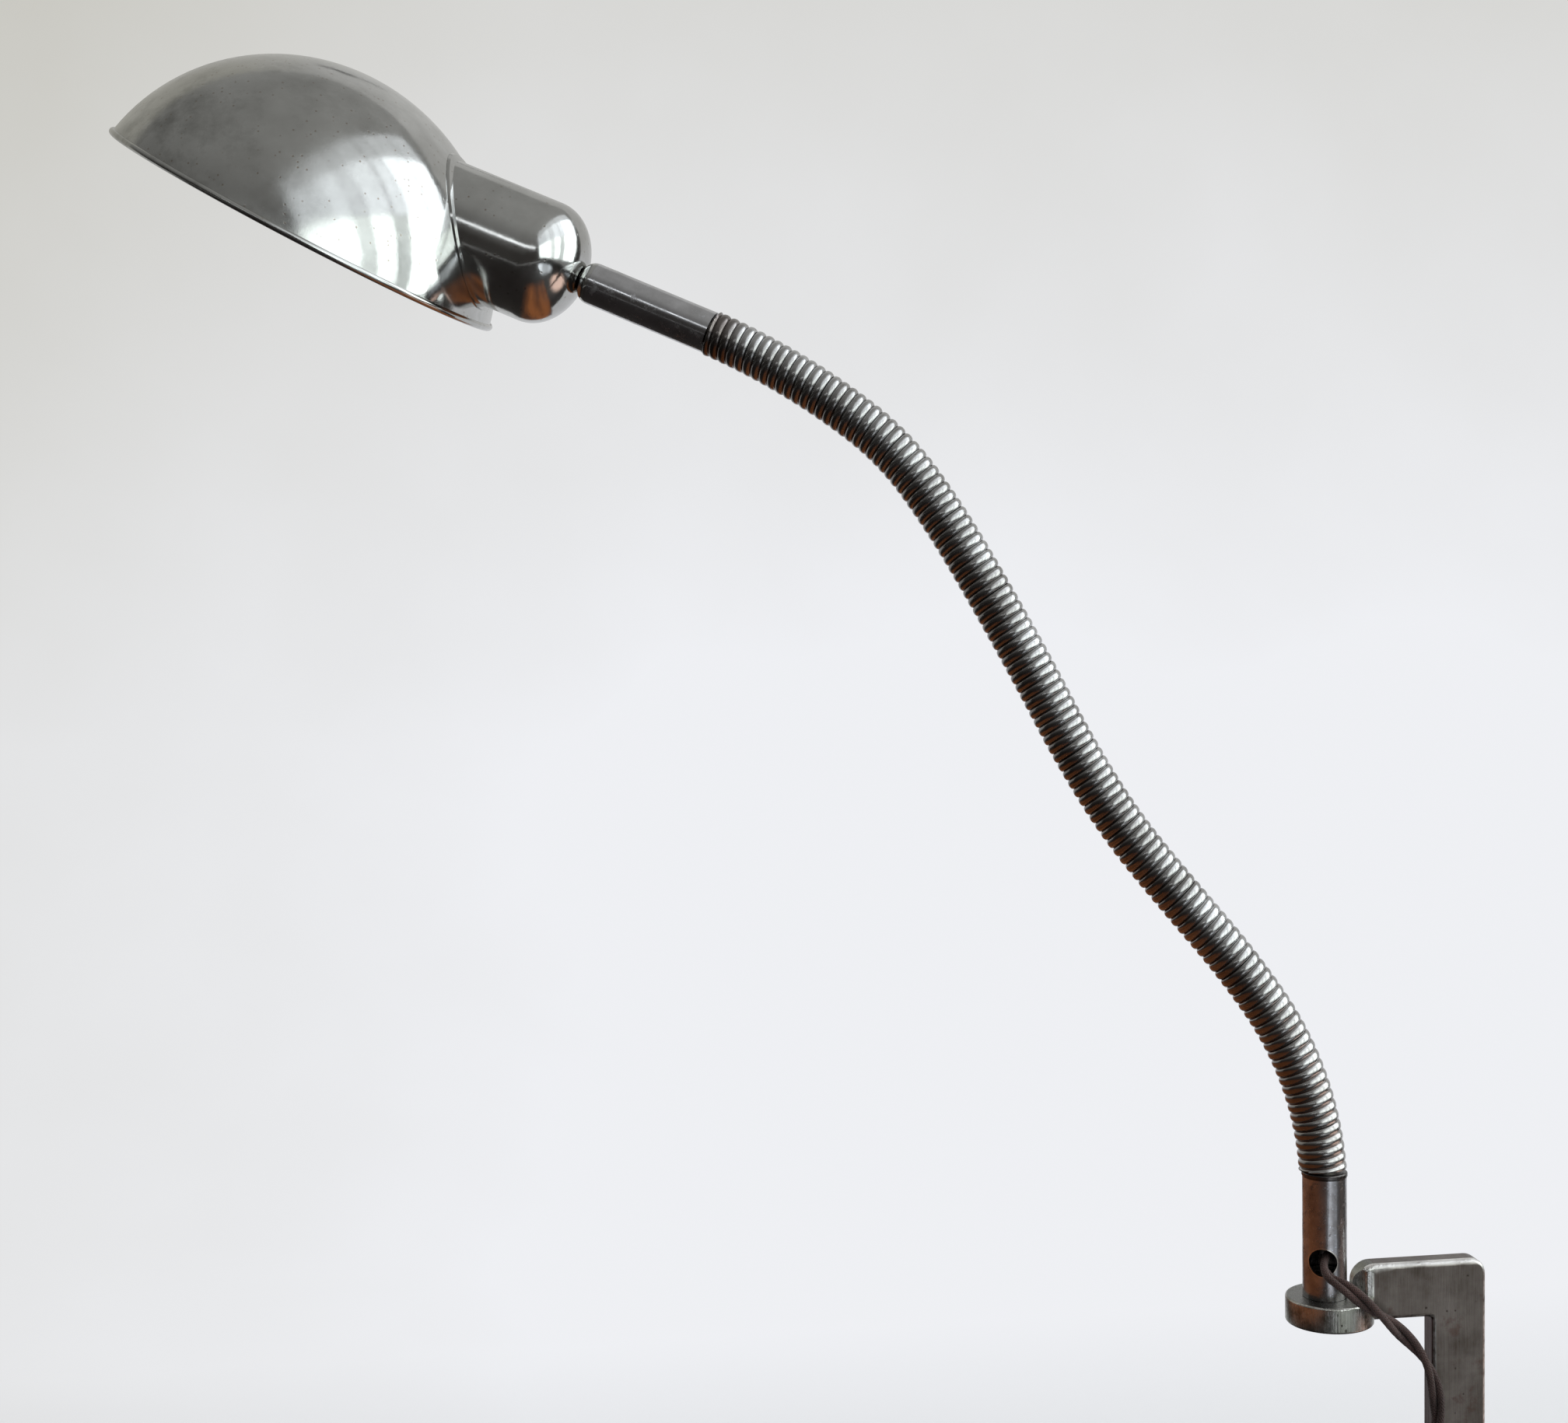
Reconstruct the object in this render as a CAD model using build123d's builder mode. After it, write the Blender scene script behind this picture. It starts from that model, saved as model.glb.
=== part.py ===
from build123d import *
from math import atan2, cos, degrees, pi, radians, sin, sqrt, tan
import os

# Clamp-on gooseneck desk lamp.
# Millimetres. The origin is the centre of the clamp's upper jaw, on the face that rests on the table top.
# +Z is up. +X runs from the jaw to the clamp's back leg. The table lies on the -X side.
os.makedirs("parts", exist_ok=True)

# Fits between pieces
running_fit = 0.05
seat_gap = 0.05
side_gap = 0.3

# Clamp frame: a flat bar bent round in a C, with a round upper jaw and a threaded boss
bar_thick = 9.0
bar_depth = 20.8
bar_rise = 0.4
bar_end_x = 9.0
bar_end_slant = 3.4
bar_edge_round = 1.5
bar_front_corner = 7.5
bar_back_corner = 5.6
bar_inner_corner = 1.5
leg_inner_x = 38.2
leg_width = 20.6
throat_height = 62.0
arm_depth = 20.0
jaw_radius = 16.0
jaw_thick = 9.5
jaw_edge_round = 0.8
boss_radius = 12.0
boss_overhang = 2.0

# Clamp screw, its swivel pad and its wing
screw_radius = 5.0
screw_travel_up = 38.0
clamped_depth = 45.0
pad_radius = 13.0
pad_thick = 8.0
pad_roof = 2.0
pad_edge_round = 1.0
button_radius = 3.9
button_thick = 2.6
button_neck_radius = 3.0
wing_span = 42.0
wing_thick = 5.0
wing_height = 17.0
wing_hub_radius = 7.5
wing_web = 11.0
wing_socket = 12.0
wing_clearance = 1.0

# Tubes of the arm
tube_radius = 8.0
tube_wall = 1.25
stem_x = -1.8
stem_lift = 0.1
stem_top = 56.3
stem_bead_radius = 8.3
stem_bead_height = 1.8
arm_turn = 18.0
stem_plug_height = 6.4

# Shoulder screw on which the stem turns
pivot_thread_radius = 3.0
pivot_thread_length = 6.5
pivot_shoulder_radius = 3.5
pivot_head_radius = 5.6
pivot_head_height = 3.0
pivot_slot_width = 1.2
pivot_slot_depth = 1.3

# Cord hole in the stem
cord_hole_radius = 5.1
cord_hole_height = 23.9
cord_hole_turn = 26.4

# Gooseneck: equal links whose headings are given in degrees above the horizontal, from the stem to the tube
neck_headings = [86.0, 71.4, 56.1, 49.9, 51.1, 58.8, 63.2, 61.6, 60.2, 55.0, 38.5, 31.6, 25.2]
neck_link_length = 32.86
neck_start_u = 0.6
neck_start_z = 57.0
neck_turns_per_link = 9
neck_crest_radius = 8.7
neck_root_radius = 7.2
neck_bore_radius = 5.0
neck_joint_gap = 1.15
neck_crest_share = 0.51
neck_sleeve_bore = 3.6
neck_sleeve_inside = 4.0
neck_sleeve_outside = 1.2
neck_collar_width = 1.4

# Ferrules that carry the neck's two ends
ferrule_depth = 11.0
ferrule_spigot_radius = 4.6
ferrule_spigot_length = 8.0
ferrule_bore_radius = 3.6
ferrule_relief_radius = 4.6
ferrule_floor = 3.0

# Upper tube and the threaded stud that carries the head
upper_heading = 24.0
upper_gap = 0.7
upper_length = 49.4
tube_plug_length = 10.0
stud_radius = 4.0
stud_bore_radius = 2.7
nipple_length = 4.5
nipple_face_radius = 5.4
nipple_bulge = 0.75
nut_flats = 13.0
nut_thick = 3.2
washer_radius = 7.5
washer_thick = 1.0

# Lampholder housing: a drawn cap with a rounded end
housing_radius = 23.7
housing_wall = 0.8
housing_round_length = 18.0
lip_width = 1.7
lip_thick = 0.8

# Shade: a spun dome with a rolled bead
shade_radius = 81.0
shade_wall = 0.8
shade_reach = 117.0
shade_drop = 40.6
shade_heading = 119.6
rim_offset = 16.3
bead_radius = 1.35

# Lampholder and bulb
holder_neck_length = 5.0
holder_neck_radius = 6.5
holder_radius = 17.5
holder_wall = 0.9
holder_cap_length = 10.0
holder_skirt_length = 30.0
core_length = 15.0
contact_disc_radius = 4.0
contact_disc_height = 1.6
contact_sleeve_radius = 14.0
contact_sleeve_wall = 0.5
contact_sleeve_length = 21.0
bulb_cap_radius = 13.1
bulb_cap_length = 23.0
bulb_cap_wall = 0.4
bulb_tip_radius = 5.0
bulb_tip_length = 2.5
bulb_radius = 22.5
bulb_wall = 0.7
bulb_length = 77.0
bulb_neck_radius = 12.2
bulb_neck_depth = 6.0
bulb_shoulder_angle = 50.0
filament_stem_radius = 2.2
filament_radius = 0.5
filament_span = 16.0
terminal_radius = 2.0
terminal_length = 3.0
terminal_offset = 9.5

# Cord, inline switch and plug
cord_diameter = 6.6
cord_turn_gap = 0.7
switch_length = 62.0
switch_width = 25.0
switch_thick = 18.0
switch_wall = 2.2
switch_edge_round = 3.0
rocker_width = 8.0
rocker_tip_radius = 13.0
rocker_half_angle = 30.0
rocker_dip = 1.8
rocker_hub_radius = 3.0
rocker_swing = 16.0
rocker_pin_radius = 1.2
rocker_pin_seat = 1.4
switch_screw_radius = 1.5
switch_screw_head = 2.7
switch_screw_sink = 1.6
switch_screw_inset = 12.5
switch_post_radius = 3.2
contact_block = 6.0
contact_height = 3.2
contact_offset = 9.0
coil_start_radius = 47.0
coil_turns_per_layer = 3
tie_width = 8.0
tie_thick = 1.2
tie_gap = 0.45
plug_radius = 18.0
plug_base_thick = 10.0
plug_cap_height = 24.0
plug_neck_radius = 7.0
plug_neck_height = 6.0
plug_shoulder_height = 9.0
plug_wall = 2.4
plug_post_radius = 3.0
plug_post_offset = 11.0
plug_pin_inside = 4.0
plug_cord_inside = 4.0
plug_pin_radius = 2.0
plug_pin_length = 19.0
plug_pin_spacing = 19.0
plug_pin_round = 1.5
plug_screw_radius = 1.5
plug_screw_head = 2.6
plug_screw_sink = 2.0
plug_screw_length = 18.0

# The free cord's route from inside the stem to the switch, as it hangs in the photograph and below it
cord_points = [
    (-1.4, 0.8, 24.6),
    (-7.2, -11.6, 21.4),
    (-1.6, -19.6, 19.0),
    (8.6, -19.4, 9.8),
    (20.6, -12.8, 0.2),
    (31.0, -10.9, -10.8),
    (36.6, -10.9, -22.4),
    (37.6, -11.2, -42.0),
    (35.6, -12.4, -76.0),
    (36.6, -11.0, -113.0),
    (36.6, -11.0, -150.0),
]
cord_middle_length = 50.0
cord_tail_length = 64.0
coil_sample_count = 600


# The arm bends in one upright plane. u is the distance from the stem's axis towards the head.
arm_side = Vector(sin(radians(arm_turn)), cos(radians(arm_turn)), 0)


def arm_point(u, z):
    return Vector(stem_x - u * cos(radians(arm_turn)), u * sin(radians(arm_turn)), z)


def arm_direction(heading):
    level = cos(radians(heading))
    return Vector(-level * cos(radians(arm_turn)), level * sin(radians(arm_turn)), sin(radians(heading)))


def cross_plane(origin, heading):
    """A plane square to the arm at a point, with a steady X axis."""
    return Plane(origin=origin, x_dir=arm_side, z_dir=arm_direction(heading))


def length_plane(origin, heading):
    """A plane along the arm: X runs along the axis, Y is the radius."""
    return Plane(origin=origin, x_dir=arm_direction(heading), z_dir=arm_side)


def turned(plane, outline):
    """A piece turned about its plane's X axis from an outline of (along, radius) points."""
    with BuildPart() as piece:
        with BuildSketch(plane):
            with BuildLine():
                Polyline(*outline, close=True)
            make_face()
        revolve(axis=Axis(plane.origin, plane.x_dir))
    return piece


def pipe(points, radii, radius):
    """A round tube along straight runs joined by tangent arcs."""
    start = Vector(points[0])
    with BuildPart() as piece:
        with BuildLine() as path:
            FilletPolyline(*points, radius=radii)
        with BuildSketch(Plane(origin=start, z_dir=Vector(points[1]) - start)):
            Circle(radius)
        sweep(path=path.wire())
    return piece, path.wire().length


def save(piece, label):
    piece.part.label = label
    export_step(piece.part, f"parts/{label}.step")


# Clamp frame
leg_outer_x = leg_inner_x + leg_width
bar_top = bar_rise + bar_depth
arm_top = -throat_height
arm_bottom = arm_top - arm_depth
boss_bottom = arm_bottom - boss_overhang

with BuildPart() as clamp_frame:
    with BuildSketch(Plane.XZ.offset(-bar_thick / 2)):
        with BuildLine():
            FilletPolyline(
                (bar_end_x, bar_rise),
                (bar_end_x, bar_top),
                (leg_outer_x, bar_top),
                (leg_outer_x, arm_bottom),
                (0, arm_bottom),
                (0, arm_top),
                (leg_inner_x, arm_top),
                (leg_inner_x, bar_rise),
                radius=[0, bar_front_corner, bar_back_corner, bar_back_corner, 0, 0]
                + [bar_inner_corner, bar_inner_corner],
                close=True,
            )
        make_face()
    extrude(amount=bar_thick)
    # The bar's free end is cut back on its front side
    with BuildSketch(Plane.XY.offset(bar_rise - 1)):
        with BuildLine():
            Polyline(
                (bar_end_x - 1, 0),
                (bar_end_x, 0),
                (bar_end_x + bar_end_slant, -bar_thick / 2),
                (bar_end_x + bar_end_slant, -bar_thick),
                (bar_end_x - 1, -bar_thick),
                close=True,
            )
        make_face()
    extrude(amount=bar_depth + 2, mode=Mode.SUBTRACT)
    sides = clamp_frame.faces().sort_by(Axis.Y)
    fillet(sides[0].edges() + sides[-1].edges(), bar_edge_round)

    # Upper jaw: a round disc that stands on the table top
    with BuildSketch(Plane.XZ):
        with BuildLine():
            FilletPolyline(
                (0, 0),
                (jaw_radius, 0),
                (jaw_radius, jaw_thick),
                (0, jaw_thick),
                radius=[0, jaw_edge_round, jaw_edge_round, 0],
                close=True,
            )
        make_face()
    revolve(axis=Axis.Z)
    with Locations((stem_x, 0, jaw_thick)):
        Hole(pivot_thread_radius + seat_gap, depth=pivot_thread_length + side_gap)
    # Threaded boss at the end of the lower arm
    with BuildSketch(Plane.XY.offset(boss_bottom)):
        Circle(boss_radius)
    extrude(amount=arm_top - boss_bottom)
    with Locations((0, 0, arm_top)):
        Hole(screw_radius + running_fit, depth=arm_top - boss_bottom)
save(clamp_frame, "clamp_frame")

# Swivel pad: a round foot with a closed socket for the screw's button
pad_top = -clamped_depth
pad_bottom = pad_top - pad_thick
socket_top = pad_top - pad_roof
lip_top = socket_top - button_thick - 2 * running_fit
with BuildPart() as swivel_pad:
    with BuildSketch(Plane.XZ):
        with BuildLine():
            FilletPolyline(
                (0, socket_top),
                (0, pad_top),
                (pad_radius, pad_top),
                (pad_radius, pad_bottom),
                (button_neck_radius + running_fit, pad_bottom),
                (button_neck_radius + running_fit, lip_top),
                (button_radius + running_fit, lip_top),
                (button_radius + running_fit, socket_top),
                radius=[0, 0, pad_edge_round, pad_edge_round, 0, 0, 0, 0],
                close=True,
            )
        make_face()
    revolve(axis=Axis.Z)
save(swivel_pad, "swivel_pad")

# Clamp screw: a threaded rod with a turned button at its top
button_top = socket_top - running_fit
shoulder = pad_bottom - side_gap
wing_top = boss_bottom - screw_travel_up - wing_clearance
screw_bottom = wing_top - wing_socket
vertical = Plane(origin=(0, 0, 0), x_dir=(0, 0, 1), z_dir=(0, 1, 0))
clamp_screw = turned(
    vertical,
    [
        (button_top, 0),
        (button_top, button_radius),
        (button_top - button_thick, button_radius),
        (button_top - button_thick, button_neck_radius),
        (shoulder, button_neck_radius),
        (shoulder, screw_radius),
        (screw_bottom, screw_radius),
        (screw_bottom, 0),
    ],
)
save(clamp_screw, "clamp_screw")

# Wing: a cast thumb grip pressed on the screw's lower end
wing_centre = wing_top - wing_height / 2
lobe_x = (wing_span - wing_height) / 2
with BuildPart() as wing_grip:
    with BuildSketch(Plane.XZ.offset(-wing_thick / 2)):
        with Locations((-lobe_x, wing_centre), (lobe_x, wing_centre)):
            Circle(wing_height / 2)
        with Locations((0, wing_centre)):
            Rectangle(2 * lobe_x, wing_web)
    extrude(amount=wing_thick)
    faces = wing_grip.faces().sort_by(Axis.Y)
    fillet(faces[0].edges() + faces[-1].edges(), wing_thick / 4)
    with BuildSketch(Plane.XY.offset(wing_top)):
        Circle(wing_hub_radius)
    extrude(amount=-wing_height)
    with Locations((0, 0, wing_top)):
        Hole(screw_radius + seat_gap, depth=wing_socket + seat_gap)
save(wing_grip, "wing_grip")

# Stem: the lower tube, with a rolled bead at its top and a round hole for the cord
tube_bore = tube_radius - tube_wall
stem_bottom = jaw_thick + stem_lift
stem_axis = Axis((stem_x, 0, 0), (0, 0, 1))
hole_direction = Vector(-sin(radians(cord_hole_turn)), -cos(radians(cord_hole_turn)), 0)
with BuildPart() as stem_tube:
    with BuildSketch(Plane(origin=(stem_x, 0, 0), x_dir=(1, 0, 0), z_dir=(0, -1, 0))):
        with BuildLine():
            FilletPolyline(
                (tube_bore, stem_bottom),
                (tube_radius, stem_bottom),
                (tube_radius, stem_top - stem_bead_height),
                (stem_bead_radius, stem_top - stem_bead_height + (stem_bead_radius - tube_radius)),
                (stem_bead_radius, stem_top),
                (tube_bore, stem_top),
                radius=[0, 0, 0, 0, (stem_bead_radius - tube_bore) / 2.5, 0],
                close=True,
            )
        make_face()
    revolve(axis=stem_axis)
    with BuildSketch(Plane(origin=(stem_x, 0, cord_hole_height), z_dir=hole_direction)):
        Circle(cord_hole_radius)
    extrude(amount=tube_radius + side_gap, mode=Mode.SUBTRACT)
save(stem_tube, "stem_tube")

# Bush in the stem's foot, turning on the shoulder screw
stem_up = Plane(origin=(stem_x, 0, 0), x_dir=(0, 0, 1), z_dir=(0, 1, 0))
plug_top = stem_bottom + stem_plug_height
stem_bush = turned(
    stem_up,
    [
        (stem_bottom, pivot_shoulder_radius + running_fit),
        (stem_bottom, tube_bore - seat_gap),
        (plug_top, tube_bore - seat_gap),
        (plug_top, pivot_shoulder_radius + running_fit),
    ],
)
save(stem_bush, "stem_bush")

# Shoulder screw in the jaw
head_bottom = plug_top + running_fit
head_top = head_bottom + pivot_head_height
thread_bottom = jaw_thick - pivot_thread_length
with BuildPart() as pivot_screw:
    with BuildSketch(stem_up):
        with BuildLine():
            Polyline(
                (thread_bottom, 0),
                (thread_bottom, pivot_thread_radius),
                (jaw_thick, pivot_thread_radius),
                (jaw_thick, pivot_shoulder_radius),
                (head_bottom, pivot_shoulder_radius),
                (head_bottom, pivot_head_radius),
                (head_top, pivot_head_radius),
                (head_top, 0),
                close=True,
            )
        make_face()
    revolve(axis=stem_axis)
    with BuildSketch(Plane.XY.offset(head_top)):
        with Locations((stem_x, 0)):
            Rectangle(2 * pivot_head_radius, pivot_slot_width)
    extrude(amount=-pivot_slot_depth, mode=Mode.SUBTRACT)
save(pivot_screw, "pivot_screw")

# Gooseneck links
neck_joints = [Vector(neck_start_u, neck_start_z)]
for heading, next_heading in zip(neck_headings, neck_headings[1:]):
    turn = radians(next_heading - heading)
    bend_radius = neck_link_length / turn
    last = neck_joints[-1]
    step = Vector(
        sin(radians(next_heading)) - sin(radians(heading)),
        cos(radians(heading)) - cos(radians(next_heading)),
    )
    neck_joints.append(last + step * bend_radius)


def neck_place(index, share):
    """The neck's centre and heading at a share of one link's length."""
    heading = neck_headings[index]
    turned_by = (neck_headings[index + 1] - heading) * share
    bend_radius = neck_link_length / radians(neck_headings[index + 1] - heading)
    here = neck_joints[index] + bend_radius * Vector(
        sin(radians(heading + turned_by)) - sin(radians(heading)),
        cos(radians(heading)) - cos(radians(heading + turned_by)),
    )
    return arm_point(here.X, here.Y), heading + turned_by


link_count = len(neck_headings) - 1
neck_collar_radius = (neck_bore_radius + neck_root_radius) / 2
neck_pitch = neck_link_length / neck_turns_per_link
root_share = neck_joint_gap / 2 / neck_pitch
crest_start = (1 - neck_crest_share) / 2
rib_outline = [
    (root_share, neck_root_radius),
    (crest_start, neck_crest_radius),
    (1 - crest_start, neck_crest_radius),
    (1 - root_share, neck_root_radius),
]
for index in range(link_count):
    with BuildPart() as neck_link:
        for turn_number in range(neck_turns_per_link):
            for share, radius in rib_outline:
                origin, heading = neck_place(index, (turn_number + share) / neck_turns_per_link)
                with BuildSketch(cross_plane(origin, heading)):
                    Circle(radius)
        loft(ruled=True)
        link_ends = [neck_place(index, share) for share in (0, 0.5, 1)]
        with BuildLine() as link_axis:
            ThreePointArc(*[origin for origin, heading in link_ends])
        with BuildSketch(cross_plane(*link_ends[0])):
            Circle(neck_bore_radius)
        sweep(path=link_axis.wire(), mode=Mode.SUBTRACT)
        # The inner winding: a sleeve that reaches from this link's bore into the next one's
        if index < link_count - 1:
            link_end = length_plane(*link_ends[-1])
            with BuildSketch(link_end):
                with BuildLine():
                    Polyline(
                        (-neck_sleeve_inside, neck_sleeve_bore),
                        (-neck_sleeve_inside, neck_collar_radius),
                        (neck_collar_width - neck_sleeve_inside, neck_collar_radius),
                        (neck_collar_width - neck_sleeve_inside, neck_bore_radius - side_gap),
                        (neck_sleeve_outside, neck_bore_radius - side_gap),
                        (neck_sleeve_outside, neck_sleeve_bore),
                        close=True,
                    )
                make_face()
            revolve(axis=Axis(link_end.origin, link_end.x_dir))
    save(neck_link, f"neck_link_{index + 1:02d}")

# Ferrules: a sleeve in each tube's end, with a spigot in the neck's bore
neck_start = neck_place(0, 0)
neck_end = neck_place(link_count - 1, 1)
upper_axis = arm_direction(upper_heading)
upper_start = neck_end[0] + upper_axis * upper_gap


def ferrule(seat, spigot, reach):
    """seat looks out of the tube's mouth, and spigot looks into the neck, from the neck's end."""
    with BuildPart() as piece:
        with BuildSketch(seat):
            Circle(tube_bore - seat_gap)
        extrude(amount=-ferrule_depth)
        with BuildSketch(spigot.offset(-reach)):
            Circle(ferrule_spigot_radius)
        extrude(amount=reach + ferrule_spigot_length)
        # The bore is wider behind a floor at the tube's mouth
        with BuildSketch(seat.offset(-ferrule_depth)):
            Circle(ferrule_relief_radius)
        extrude(amount=ferrule_depth - ferrule_floor, mode=Mode.SUBTRACT)
        with BuildSketch(spigot.offset(-reach - 1.2 * ferrule_floor)):
            Circle(ferrule_bore_radius)
        extrude(amount=reach + 1.2 * ferrule_floor + ferrule_spigot_length, mode=Mode.SUBTRACT)
    return piece


lower_ferrule = ferrule(
    Plane(origin=(stem_x, 0, stem_top - seat_gap), x_dir=arm_side, z_dir=(0, 0, 1)),
    cross_plane(*neck_start),
    neck_start_z - stem_top + 2 * side_gap,
)
save(lower_ferrule, "lower_ferrule")
upper_ferrule = ferrule(
    Plane(origin=upper_start + upper_axis * seat_gap, x_dir=arm_side, z_dir=-upper_axis),
    Plane(origin=neck_end[0], x_dir=arm_side, z_dir=-arm_direction(neck_end[1])),
    upper_gap + 2 * side_gap,
)
save(upper_ferrule, "upper_ferrule")

# Upper tube
with BuildPart() as upper_tube:
    with BuildSketch(cross_plane(upper_start, upper_heading)):
        Circle(tube_radius)
        Circle(tube_bore, mode=Mode.SUBTRACT)
    extrude(amount=upper_length)
save(upper_tube, "upper_tube")

# Along the head's axis, 0 is the upper tube's end
upper_end = upper_start + upper_axis * upper_length
head_plane = length_plane(upper_end, upper_heading)
head_axis = Axis(upper_end, upper_axis)

tube_plug = turned(
    head_plane,
    [
        (-tube_plug_length, stud_radius + seat_gap),
        (-tube_plug_length, tube_bore - seat_gap),
        (0, tube_bore - seat_gap),
        (0, stud_radius + seat_gap),
    ],
)
save(tube_plug, "tube_plug")

with BuildPart() as domed_nipple:
    with BuildSketch(head_plane):
        with BuildLine():
            Polyline(
                (nipple_length - seat_gap, nipple_face_radius),
                (nipple_length - seat_gap, stud_radius + seat_gap),
                (seat_gap, stud_radius + seat_gap),
                (seat_gap, tube_radius - seat_gap),
            )
            ThreePointArc(
                (seat_gap, tube_radius - seat_gap),
                (nipple_length / 2, (tube_radius + nipple_face_radius) / 2 + nipple_bulge),
                (nipple_length - seat_gap, nipple_face_radius),
            )
        make_face()
    revolve(axis=head_axis)
save(domed_nipple, "domed_nipple")

# Housing: its rounded end is half an ellipsoid, and its open end is cut to the shade's dome
housing_bore = housing_radius - housing_wall
round_bore = housing_round_length - housing_wall
round_centre = nipple_length + housing_round_length
dome_centre = upper_end + upper_axis * shade_reach - arm_direction(upper_heading + 90) * shade_drop
dome_face = shade_radius + seat_gap
housing_end = shade_reach - sqrt(shade_radius**2 - (shade_drop + housing_radius) ** 2) + 2 * lip_width

with BuildPart() as lip:
    with BuildSketch(head_plane):
        with Locations(((round_centre + housing_end) / 2, housing_bore + (housing_wall + lip_width) / 2)):
            Rectangle(housing_end - round_centre, housing_wall + lip_width)
    revolve(axis=head_axis)
    with Locations(dome_centre):
        Sphere(dome_face + lip_thick, mode=Mode.INTERSECT)
        Sphere(dome_face, mode=Mode.SUBTRACT)

with BuildPart() as housing:
    with BuildSketch(head_plane):
        with BuildLine():
            EllipticalCenterArc((round_centre, 0), housing_round_length, housing_radius, 90, arc_size=90)
            Polyline(
                (round_centre, housing_radius),
                (housing_end, housing_radius),
                (housing_end, housing_bore),
                (round_centre, housing_bore),
            )
            EllipticalCenterArc((round_centre, 0), round_bore, housing_bore, 90, arc_size=90)
            Line((nipple_length, 0), (nipple_length + housing_wall, 0))
        make_face()
    revolve(axis=head_axis)
    with BuildSketch(cross_plane(upper_end, upper_heading)):
        Circle(stud_radius + running_fit)
    extrude(amount=round_centre, mode=Mode.SUBTRACT)
    with Locations(dome_centre):
        Sphere(dome_face, mode=Mode.SUBTRACT)
    add(lip.part)
save(housing, "housing")

# Shade
shade_plane = length_plane(dome_centre, shade_heading)
shade_bore = shade_radius - shade_wall
outer_arc = degrees(atan2(sqrt(shade_radius**2 - rim_offset**2), rim_offset))
inner_arc = degrees(atan2(sqrt(shade_bore**2 - rim_offset**2), rim_offset))
rim_radius = sqrt(shade_radius**2 - rim_offset**2)
with BuildPart() as shade:
    with BuildSketch(shade_plane):
        with BuildLine():
            outer = CenterArc((0, 0), shade_radius, 0, outer_arc)
            inner = CenterArc((0, 0), shade_bore, 0, inner_arc)
            Line(outer @ 0, inner @ 0)
            Line(outer @ 1, inner @ 1)
        make_face()
        with Locations((rim_offset + bead_radius / 2, rim_radius - shade_wall / 2)):
            Circle(bead_radius)
    revolve(axis=Axis(dome_centre, arm_direction(shade_heading)))
    with BuildSketch(cross_plane(upper_end, upper_heading)):
        Circle(housing_bore)
    extrude(amount=shade_reach, mode=Mode.SUBTRACT)
save(shade, "shade")

# Washer and nut that hold the housing on the stud
washer_start = nipple_length + housing_wall + seat_gap
washer_start += round_bore * (1 - sqrt(1 - (washer_radius / housing_bore) ** 2))
nut_start = washer_start + washer_thick + seat_gap
holder_start = nut_start + nut_thick + seat_gap
holder_face = holder_start + holder_neck_length
stud_washer = turned(
    head_plane,
    [
        (washer_start, stud_radius + running_fit),
        (washer_start, washer_radius),
        (washer_start + washer_thick, washer_radius),
        (washer_start + washer_thick, stud_radius + running_fit),
    ],
)
save(stud_washer, "stud_washer")

with BuildPart() as stud_nut:
    with BuildSketch(cross_plane(upper_end + upper_axis * nut_start, upper_heading)):
        RegularPolygon(nut_flats / 2, 6, major_radius=False)
        Circle(stud_radius + seat_gap, mode=Mode.SUBTRACT)
    extrude(amount=nut_thick)
save(stud_nut, "stud_nut")

hollow_stud = turned(
    head_plane,
    [
        (-tube_plug_length, stud_bore_radius),
        (-tube_plug_length, stud_radius),
        (holder_face, stud_radius),
        (holder_face, stud_bore_radius),
    ],
)
save(hollow_stud, "hollow_stud")

# Lampholder
cap_end = holder_face + holder_cap_length
cap_bore = holder_radius - holder_wall
holder_cap = turned(
    head_plane,
    [
        (holder_start, stud_radius + running_fit),
        (holder_start, holder_neck_radius),
        (holder_face, holder_neck_radius),
        (holder_face, holder_radius),
        (cap_end, holder_radius),
        (cap_end, cap_bore),
        (holder_face + holder_wall, cap_bore),
        (holder_face + holder_wall, stud_radius + running_fit),
    ],
)
save(holder_cap, "holder_cap")

skirt_start = cap_end + seat_gap
skirt_end = skirt_start + holder_skirt_length
holder_skirt = turned(
    head_plane,
    [
        (skirt_start, cap_bore),
        (skirt_start, holder_radius),
        (skirt_end, holder_radius),
        (skirt_end, cap_bore),
    ],
)
save(holder_skirt, "holder_skirt")

core_start = holder_face + holder_wall + terminal_length + side_gap
core_end = core_start + core_length
porcelain_core = turned(
    head_plane,
    [
        (core_start, stud_bore_radius),
        (core_start, cap_bore - seat_gap),
        (core_end, cap_bore - seat_gap),
        (core_end, stud_bore_radius),
    ],
)
save(porcelain_core, "porcelain_core")

with BuildPart() as terminal_screws:
    with BuildSketch(cross_plane(upper_end + upper_axis * (core_start - seat_gap), upper_heading)):
        with PolarLocations(terminal_offset, 2):
            Circle(terminal_radius)
    extrude(amount=-terminal_length)
save(terminal_screws, "terminal_screws")

sleeve_start = core_end + seat_gap
contact_sleeve = turned(
    head_plane,
    [
        (sleeve_start, contact_sleeve_radius - contact_sleeve_wall),
        (sleeve_start, contact_sleeve_radius),
        (sleeve_start + contact_sleeve_length, contact_sleeve_radius),
        (sleeve_start + contact_sleeve_length, contact_sleeve_radius - contact_sleeve_wall),
    ],
)
save(contact_sleeve, "contact_sleeve")

contact_end = sleeve_start + contact_disc_height
centre_contact = turned(
    head_plane,
    [
        (sleeve_start, 0),
        (sleeve_start, contact_disc_radius),
        ((sleeve_start + contact_end) / 2, contact_disc_radius),
        (contact_end, contact_disc_radius / 2),
        (contact_end, 0),
    ],
)
save(centre_contact, "centre_contact")

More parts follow.
